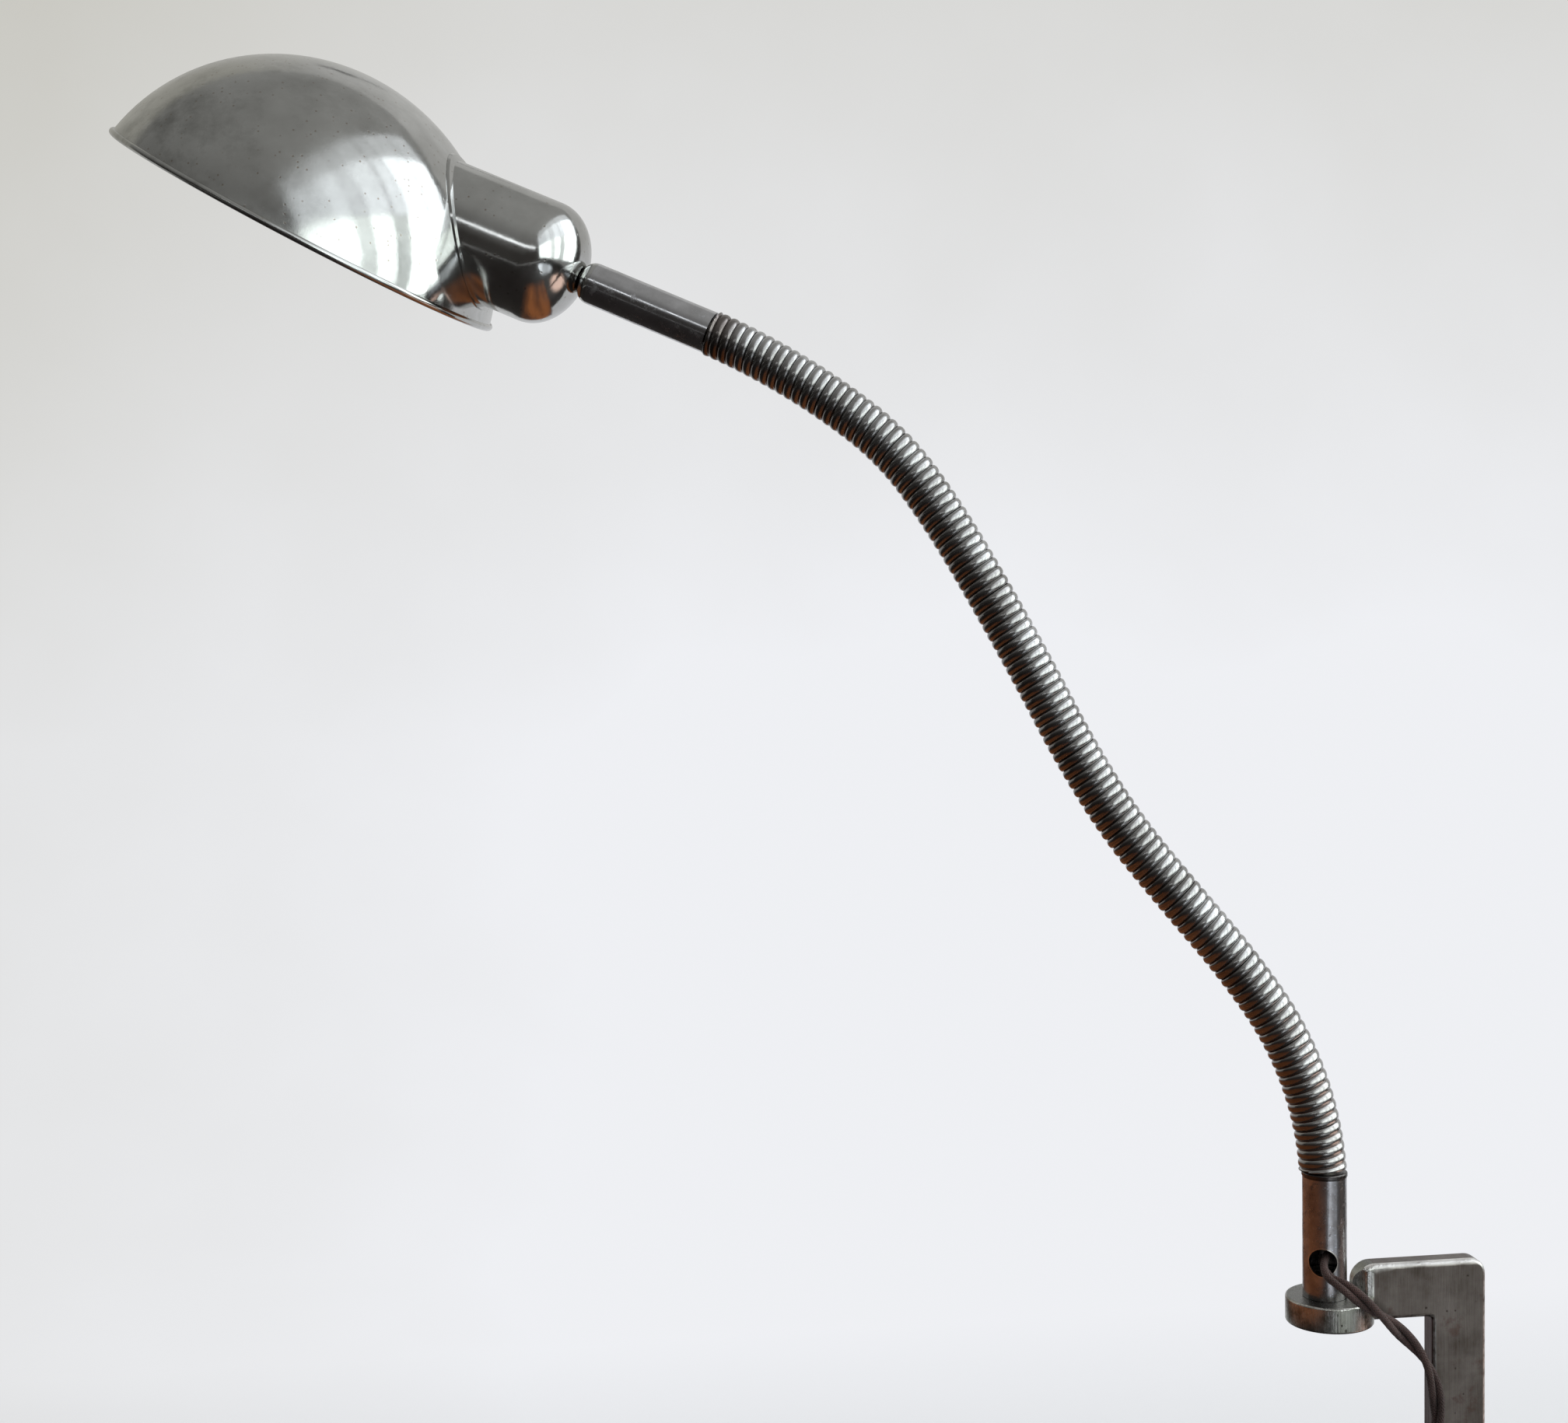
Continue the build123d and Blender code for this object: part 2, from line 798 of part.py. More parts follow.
# Bulb
tip_start = contact_end + seat_gap
tip_end = tip_start + bulb_tip_length
bulb_cap_end = tip_end + bulb_cap_length
bulb_cap_bore = bulb_cap_radius - bulb_cap_wall
bulb_cap = turned(
    head_plane,
    [
        (tip_start, 0),
        (tip_start, bulb_tip_radius - bulb_tip_length / 2),
        (tip_end, bulb_tip_radius),
        (tip_end, bulb_cap_radius),
        (bulb_cap_end, bulb_cap_radius),
        (bulb_cap_end, bulb_cap_bore),
        (tip_end + 2 * bulb_cap_wall, bulb_cap_bore),
        (tip_end + 2 * bulb_cap_wall, 0),
    ],
)
save(bulb_cap, "bulb_cap")

bulb_centre = tip_start + bulb_length - bulb_radius
neck_inside = bulb_neck_radius - bulb_wall
with BuildPart() as bulb_glass:
    with BuildSketch(head_plane):
        with BuildLine():
            outer = CenterArc((bulb_centre, 0), bulb_radius, 0, 180 - bulb_shoulder_angle)
            inner = CenterArc((bulb_centre, 0), bulb_radius - bulb_wall, 0, 180 - bulb_shoulder_angle)
            Line(outer @ 0, inner @ 0)
            Polyline(
                outer @ 1,
                (bulb_cap_end, bulb_neck_radius),
                (bulb_cap_end - bulb_neck_depth, bulb_neck_radius),
                (bulb_cap_end - bulb_neck_depth, neck_inside),
                (bulb_cap_end, neck_inside),
                inner @ 1,
            )
        make_face()
    revolve(axis=head_axis)
save(bulb_glass, "bulb_glass")

filament_start = tip_end + 2 * bulb_cap_wall + seat_gap
with BuildPart() as bulb_filament:
    with BuildSketch(cross_plane(upper_end + upper_axis * filament_start, upper_heading)):
        Circle(filament_stem_radius)
    extrude(amount=bulb_centre - filament_start)
    bar_end = upper_end + upper_axis * bulb_centre - arm_side * (filament_span / 2)
    with BuildSketch(Plane(origin=bar_end, z_dir=arm_side)):
        Circle(filament_radius)
    extrude(amount=filament_span)
save(bulb_filament, "bulb_filament")


# Free cord from the stem to the switch
def corner_radii(points):
    """At each corner the arc is as large as its two runs allow."""
    radii = []
    for before, here, after in zip(points, points[1:], points[2:]):
        first = Vector(here) - Vector(before)
        second = Vector(after) - Vector(here)
        half_turn = radians(first.get_angle(second)) / 2
        radii.append(0.45 * min(first.length, second.length) / tan(half_turn))
    return radii


cord_radius = cord_diameter / 2
cord_radii = corner_radii(cord_points)
cord_upper, cord_upper_length = pipe(cord_points, cord_radii, cord_radius)
save(cord_upper, "cord_upper")
print("cord corner radii:", [round(radius, 1) for radius in cord_radii])

# Inline switch: two shells round a rocker, hanging on the cord, whose ends stop inside its end walls
cord_x, cord_y, cord_end_z = cord_points[-1]
switch_top = cord_end_z + switch_wall
switch_bottom = switch_top - switch_length
switch_middle = (switch_top + switch_bottom) / 2
switch_cavity = switch_thick / 2 - switch_wall
screw_rise = switch_length / 2 - switch_screw_inset
window_reach = rocker_tip_radius * sin(radians(rocker_half_angle + rocker_swing / 2)) + side_gap
parting = Plane(origin=(cord_x, cord_y, switch_middle), x_dir=(1, 0, 0), z_dir=(0, -1, 0))
across = Plane(origin=(cord_x, cord_y, switch_middle), x_dir=(0, -1, 0), z_dir=(1, 0, 0))


def switch_shell(side):
    """Half of the case. side is 1 for the front half and -1 for the back half."""
    with BuildPart() as shell:
        with BuildSketch(parting):
            RectangleRounded(switch_width, switch_length, 2 * switch_edge_round)
        extrude(amount=side * switch_thick / 2)
        outer_face = shell.faces().sort_by(Axis.Y)[0 if side > 0 else -1]
        fillet(outer_face.edges(), switch_edge_round)
        with BuildSketch(parting):
            RectangleRounded(
                switch_width - 2 * switch_wall,
                switch_length - 2 * switch_wall,
                2 * switch_edge_round - switch_wall,
            )
            with GridLocations(1, 2 * screw_rise, 1, 2):
                Circle(switch_post_radius, mode=Mode.SUBTRACT)
        extrude(amount=side * switch_cavity, mode=Mode.SUBTRACT)
        with BuildSketch(parting):
            with GridLocations(1, 2 * screw_rise, 1, 2):
                Circle(switch_screw_radius + seat_gap)
        extrude(amount=side * switch_cavity, mode=Mode.SUBTRACT)
        # Half of each cord entry
        with BuildSketch(Plane.XY.offset(switch_bottom)):
            with Locations((cord_x, cord_y)):
                Circle(cord_radius + running_fit)
        extrude(amount=switch_length, mode=Mode.SUBTRACT)
        # Half of each seat for the rocker's pin
        with BuildSketch(across):
            Circle(rocker_pin_radius + running_fit)
        extrude(amount=switch_width / 2 - switch_wall + rocker_pin_seat, both=True, mode=Mode.SUBTRACT)
    return shell


switch_back = switch_shell(-1)
save(switch_back, "switch_back")

with BuildPart() as switch_front:
    add(switch_shell(1).part)
    with BuildSketch(parting):
        Rectangle(rocker_width + 2 * side_gap, 2 * window_reach)
    extrude(amount=switch_thick, mode=Mode.SUBTRACT)
    with BuildSketch(parting.offset(switch_thick / 2)):
        with GridLocations(1, 2 * screw_rise, 1, 2):
            Circle(switch_screw_head + seat_gap)
    extrude(amount=-switch_screw_sink, mode=Mode.SUBTRACT)
    with BuildSketch(parting):
        with GridLocations(1, 2 * screw_rise, 1, 2):
            Circle(switch_screw_radius + seat_gap)
    extrude(amount=switch_thick / 2, mode=Mode.SUBTRACT)
save(switch_front, "switch_front")

with BuildPart() as switch_screws:
    with BuildSketch(parting.offset(switch_thick / 2 - seat_gap)):
        with GridLocations(1, 2 * screw_rise, 1, 2):
            Circle(switch_screw_head)
    extrude(amount=2 * seat_gap - switch_screw_sink)
    with BuildSketch(parting.offset(switch_thick / 2 - switch_screw_sink + seat_gap)):
        with GridLocations(1, 2 * screw_rise, 1, 2):
            Circle(switch_screw_radius)
    extrude(amount=switch_screw_sink - switch_thick / 2 - switch_cavity)
save(switch_screws, "switch_screws")

# The rocker rests with its upper end out and its lower end pressed in
rocker_tilt = radians(rocker_swing / 2)
rocker_plane = Plane(
    origin=across.origin, x_dir=(0, -cos(rocker_tilt), -sin(rocker_tilt)), z_dir=across.z_dir
)
tip_out = rocker_tip_radius * cos(radians(rocker_half_angle))
tip_up = rocker_tip_radius * sin(radians(rocker_half_angle))
with BuildPart() as switch_rocker:
    with BuildSketch(rocker_plane):
        with BuildLine():
            ThreePointArc((tip_out, tip_up), (tip_out - rocker_dip, 0), (tip_out, -tip_up))
            Polyline(
                (tip_out, -tip_up),
                (rocker_hub_radius, -rocker_hub_radius),
                (0, -rocker_hub_radius),
                (0, rocker_hub_radius),
                (rocker_hub_radius, rocker_hub_radius),
                (tip_out, tip_up),
            )
        make_face()
        Circle(rocker_hub_radius)
    extrude(amount=rocker_width / 2, both=True)
    with BuildSketch(across):
        Circle(rocker_pin_radius)
    extrude(amount=switch_width / 2 - switch_wall + rocker_pin_seat - side_gap, both=True)
save(switch_rocker, "switch_rocker")

with BuildPart() as switch_contacts:
    with BuildSketch(parting.offset(seat_gap - switch_cavity)):
        with GridLocations(1, 2 * contact_offset, 1, 2):
            Rectangle(contact_block, contact_block)
    extrude(amount=contact_height)
save(switch_contacts, "switch_contacts")

# Cord from the switch to the coil
middle_top = Vector(cord_x, cord_y, switch_bottom + switch_wall)
middle_bottom = Vector(cord_x, cord_y, switch_bottom - cord_middle_length)
with BuildPart() as cord_middle:
    with BuildSketch(Plane(origin=middle_top, z_dir=(0, 0, -1))):
        Circle(cord_radius)
    extrude(amount=middle_top.Z - middle_bottom.Z)
save(cord_middle, "cord_middle")

# Spare cord: a hanging coil in two layers, which spirals in, climbs to the back layer and spirals out
coil_pitch = cord_diameter + cord_turn_gap
coil_turns = 2 * coil_turns_per_layer
coil_centre = Vector(cord_x - coil_start_radius, cord_y, middle_bottom.Z - cord_diameter)


def coil_station(quarter):
    """The coil's point and heading at a number of quarter turns from its start."""
    turns = quarter / 4
    from_reversal = turns - coil_turns_per_layer
    radius = coil_start_radius - coil_pitch * (coil_turns_per_layer - abs(from_reversal))
    radial_rate = coil_pitch if from_reversal > 0 else -coil_pitch
    layer_rate = 0
    back = coil_pitch if from_reversal > 0 else 0
    if from_reversal == 0:
        radius += coil_pitch / 8
        radial_rate = 0
        layer_rate = 4 * coil_pitch
        back = coil_pitch / 2
    if quarter in (0, 4 * coil_turns):
        radial_rate = 0
    angle = 2 * pi * turns
    outward = Vector(cos(angle), 0, -sin(angle))
    around = Vector(-sin(angle), 0, -cos(angle))
    point = coil_centre + outward * radius + Vector(0, back, 0)
    heading = outward * radial_rate + around * (2 * pi * radius) + Vector(0, layer_rate, 0)
    return point, heading.normalized()


with BuildPart() as cord_coil:
    with BuildLine() as coil_path:
        first, heading = coil_station(0)
        Line(first - heading * cord_diameter, first)
        for quarter in range(4 * coil_turns):
            start, start_heading = coil_station(quarter)
            end, end_heading = coil_station(quarter + 1)
            chord = end - start
            both = start_heading + end_heading
            spread = 2 * (1 - start_heading.dot(end_heading))
            lead = (sqrt(chord.dot(both) ** 2 + spread * chord.dot(chord)) - chord.dot(both)) / spread
            meeting = (start + end + (start_heading - end_heading) * lead) / 2
            TangentArc(start, meeting, tangent=start_heading)
            TangentArc(meeting, end, tangent=(end - end_heading * lead) - (start + start_heading * lead))
        last, heading = coil_station(4 * coil_turns)
        Line(last, last + heading * cord_diameter)
    with BuildSketch(Plane(origin=coil_path.wire() @ 0, z_dir=(0, 0, -1))):
        Circle(cord_radius)
    sweep(path=coil_path.wire())
save(cord_coil, "cord_coil")
coil_wire = coil_path.wire()
coil_samples = [coil_wire @ (step / coil_sample_count) for step in range(coil_sample_count + 1)]
apart = int(4 * cord_diameter / coil_wire.length * coil_sample_count) + 1
least_gap = min(
    (here - there).length - cord_diameter
    for index, here in enumerate(coil_samples)
    for there in coil_samples[index + apart :]
)
print(f"coil: least gap to itself {least_gap:.2f} mm, length {coil_wire.length:.0f} mm")

# Strap round the top of the coil
strap_inner = coil_start_radius - coil_pitch * (coil_turns_per_layer - 1 / 4) - cord_radius - tie_gap
strap_outer = coil_start_radius - coil_pitch / 4 + cord_radius + tie_gap
strap_depth = coil_pitch + cord_diameter + 2 * tie_gap
strap_middle = coil_centre + Vector(0, coil_pitch / 2, (strap_inner + strap_outer) / 2)
with BuildPart() as coil_tie:
    with BuildSketch(Plane(origin=strap_middle, x_dir=(0, 1, 0), z_dir=(1, 0, 0))):
        RectangleRounded(
            strap_depth + 2 * tie_thick,
            strap_outer - strap_inner + 2 * tie_thick,
            cord_radius,
        )
        RectangleRounded(strap_depth, strap_outer - strap_inner, cord_radius - tie_thick, mode=Mode.SUBTRACT)
    extrude(amount=tie_width / 2, both=True)
save(coil_tie, "coil_tie")

# Cord from the coil into the plug
tail_top = coil_wire @ 1
plug_top_z = tail_top.Z - cord_tail_length
with BuildPart() as cord_tail:
    with BuildSketch(Plane(origin=tail_top, z_dir=(0, 0, -1))):
        Circle(cord_radius)
    extrude(amount=cord_tail_length + plug_cord_inside)
save(cord_tail, "cord_tail")
cord_length = cord_upper_length + cord_middle_length + coil_wire.length + cord_tail_length
print(f"cord: {cord_length:.0f} mm long, with {coil_wire.length:.0f} mm of it in the coil")
section = pi * cord_radius**2
for name, tube, length in [("upper", cord_upper, cord_upper_length), ("coil", cord_coil, coil_wire.length)]:
    print(f"cord {name}: volume {tube.part.volume:.0f}, section times length {section * length:.0f}")

# Plug: a hollow round cap on a base with two pins, held by two screws
plug_axis = Plane(origin=(tail_top.X, tail_top.Y, plug_top_z), x_dir=(0, 0, -1), z_dir=(0, 1, 0))
plug_line = Axis(plug_axis.origin, plug_axis.x_dir)
shoulder_end = plug_neck_height + plug_shoulder_height
cap_inside = plug_radius - plug_wall
with BuildPart() as plug_cap:
    with BuildSketch(plug_axis):
        with BuildLine():
            Polyline(
                (shoulder_end, plug_radius),
                (plug_cap_height, plug_radius),
                (plug_cap_height, 0),
                (0, 0),
                (0, plug_neck_radius),
                (plug_neck_height, plug_neck_radius),
            )
            CenterArc((shoulder_end, plug_radius - plug_shoulder_height), plug_shoulder_height, 90, 90)
            Line(
                (plug_neck_height, plug_radius - plug_shoulder_height),
                (plug_neck_height, plug_neck_radius),
            )
        make_face()
    revolve(axis=plug_line)
    with BuildSketch(Plane(origin=plug_axis.origin, z_dir=(0, 0, -1)).offset(shoulder_end)):
        Circle(cap_inside)
        with GridLocations(1, 2 * plug_post_offset, 1, 2):
            Circle(plug_post_radius, mode=Mode.SUBTRACT)
    extrude(amount=plug_cap_height - shoulder_end, mode=Mode.SUBTRACT)
    with BuildSketch(Plane(origin=plug_axis.origin, z_dir=(0, 0, -1))):
        Circle(cord_radius + running_fit)
    extrude(amount=plug_cap_height, mode=Mode.SUBTRACT)
    with BuildSketch(Plane(origin=plug_axis.origin, z_dir=(0, 0, -1)).offset(plug_cap_height)):
        with GridLocations(1, 2 * plug_post_offset, 1, 2):
            Circle(plug_screw_radius + seat_gap)
    extrude(amount=shoulder_end - plug_cap_height, mode=Mode.SUBTRACT)
save(plug_cap, "plug_cap")

plug_base_plane = Plane(origin=plug_axis.origin, z_dir=(0, 0, -1)).offset(plug_cap_height + seat_gap)
plug_face_plane = plug_base_plane.offset(plug_base_thick)
with BuildPart() as plug_base:
    with BuildSketch(plug_base_plane):
        Circle(plug_radius)
        with GridLocations(plug_pin_spacing, 1, 2, 1):
            Circle(plug_pin_radius + seat_gap, mode=Mode.SUBTRACT)
        with GridLocations(1, 2 * plug_post_offset, 1, 2):
            Circle(plug_screw_radius + seat_gap, mode=Mode.SUBTRACT)
    extrude(amount=plug_base_thick)
    with BuildSketch(plug_face_plane):
        with GridLocations(1, 2 * plug_post_offset, 1, 2):
            Circle(plug_screw_head + seat_gap)
    extrude(amount=-plug_screw_sink, mode=Mode.SUBTRACT)
save(plug_base, "plug_base")

with BuildPart() as plug_pins:
    with BuildSketch(plug_base_plane.offset(-plug_pin_inside)):
        with GridLocations(plug_pin_spacing, 1, 2, 1):
            Circle(plug_pin_radius)
    extrude(amount=plug_pin_inside + plug_base_thick + plug_pin_length)
    fillet(plug_pins.edges().group_by(Axis.Z)[0], plug_pin_round)
save(plug_pins, "plug_pins")

with BuildPart() as plug_screws:
    with BuildSketch(plug_face_plane.offset(-seat_gap)):
        with GridLocations(1, 2 * plug_post_offset, 1, 2):
            Circle(plug_screw_head)
    extrude(amount=2 * seat_gap - plug_screw_sink)
    with BuildSketch(plug_face_plane.offset(seat_gap - plug_screw_sink)):
        with GridLocations(1, 2 * plug_post_offset, 1, 2):
            Circle(plug_screw_radius)
    extrude(amount=plug_screw_sink - plug_screw_length)
save(plug_screws, "plug_screws")
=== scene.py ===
from math import cos, pi, radians, sin

import bmesh
import bpy
from mathutils import Matrix, Vector


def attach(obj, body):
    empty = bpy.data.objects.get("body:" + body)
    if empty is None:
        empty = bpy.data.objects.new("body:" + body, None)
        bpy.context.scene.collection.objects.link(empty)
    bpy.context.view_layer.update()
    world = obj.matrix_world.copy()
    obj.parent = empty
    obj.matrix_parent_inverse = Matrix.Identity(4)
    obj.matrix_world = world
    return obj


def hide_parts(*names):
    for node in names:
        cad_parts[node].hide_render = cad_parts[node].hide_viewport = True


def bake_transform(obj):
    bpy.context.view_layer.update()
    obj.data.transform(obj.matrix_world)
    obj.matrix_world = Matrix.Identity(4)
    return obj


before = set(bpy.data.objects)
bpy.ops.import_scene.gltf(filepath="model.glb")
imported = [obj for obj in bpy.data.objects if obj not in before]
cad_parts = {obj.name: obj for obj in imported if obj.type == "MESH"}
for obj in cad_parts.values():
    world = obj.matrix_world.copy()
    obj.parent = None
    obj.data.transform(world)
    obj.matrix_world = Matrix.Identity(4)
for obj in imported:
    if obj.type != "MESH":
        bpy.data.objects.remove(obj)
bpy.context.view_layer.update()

scene = bpy.context.scene

# The viewpoint.
# The lamp is seen from in front of the table and a little above the clamp, with the camera
# turned slightly towards the clamp, tipped down and rolled by one degree.
view_place = Vector((-0.3012, -0.77025, 0.27667))
view_yaw = radians(7.55)
view_tip = radians(3.42)
view_roll = radians(1.0)
view_ahead = Vector((sin(view_yaw) * cos(view_tip), cos(view_yaw) * cos(view_tip), -sin(view_tip)))
level_right = Vector((cos(view_yaw), -sin(view_yaw), 0))
level_up = level_right.cross(view_ahead)
view_right = level_right * cos(view_roll) - level_up * sin(view_roll)
view_up = level_right * sin(view_roll) + level_up * cos(view_roll)
view_lens = bpy.data.cameras.new("view")
view_lens.sensor_width = 36.0
view_lens.lens = 50.893
view_lens.clip_start = 0.01
view = bpy.data.objects.new("view", view_lens)
scene.collection.objects.link(view)
view.matrix_world = Matrix.Translation(view_place) @ Matrix(
    (
        (view_right.x, view_up.x, -view_ahead.x, 0),
        (view_right.y, view_up.y, -view_ahead.y, 0),
        (view_right.z, view_up.z, -view_ahead.z, 0),
        (0, 0, 0, 1),
    )
)
scene.camera = view
scene.view_settings.view_transform = "Standard"

# Mains cord, from the stem to the inline switch.
# Two conductors, each in a dark brown cotton braid, are twisted into one limp cord. It comes out
# of the round hole in the stem, lies over the clamp's front and hangs down beside the leg.
cord_width = 0.0066
cord_lay = 0.054
cord_strand_radius = 0.00138
cord_strand_sides = 12
cord_step = 0.0011
stem_to_switch = [
    (-0.0014, 0.0008, 0.0246),
    (-0.0072, -0.0116, 0.0214),
    (-0.0016, -0.0196, 0.0190),
    (0.0086, -0.0194, 0.0098),
    (0.0206, -0.0128, 0.0002),
    (0.0310, -0.0109, -0.0108),
    (0.0366, -0.0109, -0.0224),
    (0.0376, -0.0112, -0.0420),
    (0.0356, -0.0124, -0.0760),
    (0.0366, -0.0110, -0.1130),
    (0.0366, -0.0110, -0.1500),
]


def new_piece(name, data):
    """A new object at the origin."""
    piece = bpy.data.objects.new(name, data)
    scene.collection.objects.link(piece)
    return piece


def curve_of(name, kind, places):
    """A curve with one spline, whose points are these places."""
    line = bpy.data.curves.new(name, "CURVE")
    line.dimensions = "3D"
    spline = line.splines.new(kind)
    spline.points.add(len(places) - 1)
    for point, place in zip(spline.points, places):
        point.co = (*place, 1)
    return line


def cord_line(route):
    """The cord's smooth centre line, read from a NURBS spline whose control points are its route."""
    line = curve_of("cord_line", "NURBS", route)
    line.resolution_u = 24
    line.splines[0].order_u = 3
    line.splines[0].use_endpoint_u = True
    carrier = new_piece("cord_line", line)
    mesh = bpy.data.meshes.new_from_object(carrier)
    points = [vertex.co.copy() for vertex in mesh.vertices]
    bpy.data.objects.remove(carrier)
    bpy.data.meshes.remove(mesh)
    return points


def line_length(points):
    """The length of a line of points."""
    return sum((there - here).length for here, there in zip(points, points[1:]))


def even_steps(points, step):
    """Points at equal distances along a line."""
    count = max(2, round(line_length(points) / step))
    spacing = line_length(points) / count
    stations = [points[0].copy()]
    walked = 0.0
    for here, there in zip(points, points[1:]):
        run = (there - here).length
        while len(stations) < count and walked + run >= spacing * len(stations):
            stations.append(here.lerp(there, (spacing * len(stations) - walked) / run))
        walked += run
    return stations + [points[-1].copy()]


def heading_at(points, index):
    """The direction of a line at one of its points."""
    return (points[min(index + 1, len(points) - 1)] - points[max(index - 1, 0)]).normalized()


def ring_of(shape, centre, across, beside, radius, count):
    """A ring of corners round a centre, in the plane of two directions."""
    ring = []
    for number in range(count):
        angle = 2 * pi * number / count
        ring.append(shape.verts.new(centre + (across * cos(angle) + beside * sin(angle)) * radius))
    return ring


def mesh_of(name, shape, finish):
    """Turns a shape into a mesh with its material."""
    mesh = bpy.data.meshes.new(name)
    shape.to_mesh(mesh)
    shape.free()
    mesh.materials.append(finish)
    return mesh


def twisted_cord(name, line, finish):
    """Two round strands that turn round each other along a line, with UV round and along each strand."""
    sides = cord_strand_sides
    stations = even_steps(line, cord_step)
    spacing = line_length(stations) / (len(stations) - 1)
    across = (stations[1] - stations[0]).orthogonal().normalized()
    shape = bmesh.new()
    braid_map = shape.loops.layers.uv.new("UVMap")
    centres = [[], []]
    axes = [[], []]
    for index, here in enumerate(stations):
        ahead = heading_at(stations, index)
        across = (across - ahead * across.dot(ahead)).normalized()
        beside = ahead.cross(across)
        for strand in (0, 1):
            angle = 2 * pi * index * spacing / cord_lay + pi * strand
            out = across * cos(angle) + beside * sin(angle)
            centres[strand].append(here + out * cord_strand_radius)
            axes[strand].append(out)
    for strand in (0, 1):
        rings = []
        for index, centre in enumerate(centres[strand]):
            ahead = heading_at(centres[strand], index)
            out = axes[strand][index]
            out = (out - ahead * out.dot(ahead)).normalized()
            rings.append(ring_of(shape, centre, out, ahead.cross(out), cord_strand_radius, sides))
        for index, (ring, next_ring) in enumerate(zip(rings, rings[1:])):
            for side in range(sides):
                following = (side + 1) % sides
                face = shape.faces.new((ring[side], ring[following], next_ring[following], next_ring[side]))
                face.smooth = True
                corners = ((side, index), (side + 1, index), (side + 1, index + 1), (side, index + 1))
                for loop, (turn, along) in zip(face.loops, corners):
                    loop[braid_map].uv = (turn / sides, along * spacing / (2 * pi * cord_strand_radius))
        shape.faces.new(list(reversed(rings[0])))
        shape.faces.new(rings[-1])
    return new_piece(name, mesh_of(name, shape, finish))


def feed(socket, value):
    """Links a socket, or sets the constant on it."""
    if isinstance(value, bpy.types.NodeSocket):
        socket.id_data.links.new(value, socket)
    elif value is not None:
        socket.default_value = value


def node_beside(kind, *values):
    """A new node in the tree of the first socket among its values."""
    tree = next(value.id_data for value in values if isinstance(value, bpy.types.NodeSocket))
    return tree.nodes.new(kind)


def sums(operation, *values):
    """One Math node."""
    node = node_beside("ShaderNodeMath", *values)
    node.operation = operation
    for socket, value in zip(node.inputs, values):
        feed(socket, value)
    return node.outputs[0]


def times(first, second):
    """One value multiplied by another."""
    return sums("MULTIPLY", first, second)


def vector_sums(operation, *values, scale=None):
    """One Vector Math node."""
    node = node_beside("ShaderNodeVectorMath", *values, scale)
    node.operation = operation
    for socket, value in zip(node.inputs, values):
        feed(socket, value)
    if scale is not None:
        feed(node.inputs["Scale"], scale)
    return node.outputs["Value" if operation in ("DOT_PRODUCT", "LENGTH") else "Vector"]


def remap(value, low, high, to_low=0.0, to_high=1.0):
    """A value between two levels, taken to two others and held there past them."""
    node = node_beside("ShaderNodeMapRange", value)
    labels = ("Value", "From Min", "From Max", "To Min", "To Max")
    for label, level in zip(labels, (value, low, high, to_low, to_high)):
        feed(node.inputs[label], level)
    return node.outputs["Result"]


def mixed(share, first, second):
    """One colour mixed into another."""
    node = node_beside("ShaderNodeMix", share, first, second)
    node.data_type = "RGBA"
    for socket, value in ((node.inputs[0], share), (node.inputs[6], first), (node.inputs[7], second)):
        feed(socket, (*value, 1.0) if isinstance(value, tuple) else value)
    return node.outputs[2]


def raised(height, distance, strength):
    """The normals of a surface with this relief."""
    node = node_beside("ShaderNodeBump", height)
    feed(node.inputs["Height"], height)
    node.inputs["Distance"].default_value = distance
    node.inputs["Strength"].default_value = strength
    return node.outputs["Normal"]


def grain(place, scale, detail=3.0, roughness=0.5):
    """Cloudy noise."""
    node = node_beside("ShaderNodeTexNoise", place)
    feed(node.inputs["Vector"], place)
    feed(node.inputs["Scale"], scale)
    node.inputs["Detail"].default_value = detail
    node.inputs["Roughness"].default_value = roughness
    return node.outputs["Fac"]


def coordinates(tree):
    """The places and directions that a pattern can follow."""
    return tree.nodes.new("ShaderNodeTexCoord").outputs


def parts(vector):
    """The X, Y and Z of a vector."""
    node = node_beside("ShaderNodeSeparateXYZ", vector)
    feed(node.inputs[0], vector)
    return node.outputs


def new_finish(name, **constants):
    """A material, its tree and its main shader. Underscores in names stand for spaces."""
    finish = bpy.data.materials.new(name)
    finish.use_nodes = True
    skin = finish.node_tree.nodes["Principled BSDF"]
    for label, value in constants.items():
        skin.inputs[label.replace("_", " ")].default_value = value
    return finish, finish.node_tree, skin


def surface(skin, colour, roughness, normal=None):
    """Sets what changes over a finish's surface."""
    for label, value in (("Base Color", colour), ("Roughness", roughness), ("Normal", normal)):
        feed(skin.inputs[label], value)


def new_effect(name, outputs, **inputs):
    """An empty shader group: its inputs with their first values, and the names of its outputs."""
    effect = bpy.data.node_groups.new(name, "ShaderNodeTree")
    for label, value in inputs.items():
        kind = "NodeSocketVector" if isinstance(value, tuple) else "NodeSocketFloat"
        socket = effect.interface.new_socket(label.replace("_", " "), in_out="INPUT", socket_type=kind)
        socket.default_value = value
    for label in outputs:
        effect.interface.new_socket(label, in_out="OUTPUT", socket_type="NodeSocketFloat")
    return effect, effect.nodes.new("NodeGroupInput").outputs, effect.nodes.new("NodeGroupOutput").inputs


def use_effect(tree, effect, **values):
    """Places a shader group in a material with its own values. Underscores in names stand for spaces."""
    node = tree.nodes.new("ShaderNodeGroup")
    node.node_tree = effect
    for label, value in values.items():
        feed(node.inputs[label.replace("_", " ")], value)
    return node.outputs


def braid_place(tree):
    """The UV map of a textile piece."""
    node = tree.nodes.new("ShaderNodeUVMap")
    node.uv_map = "UVMap"
    return node.outputs["UV"]


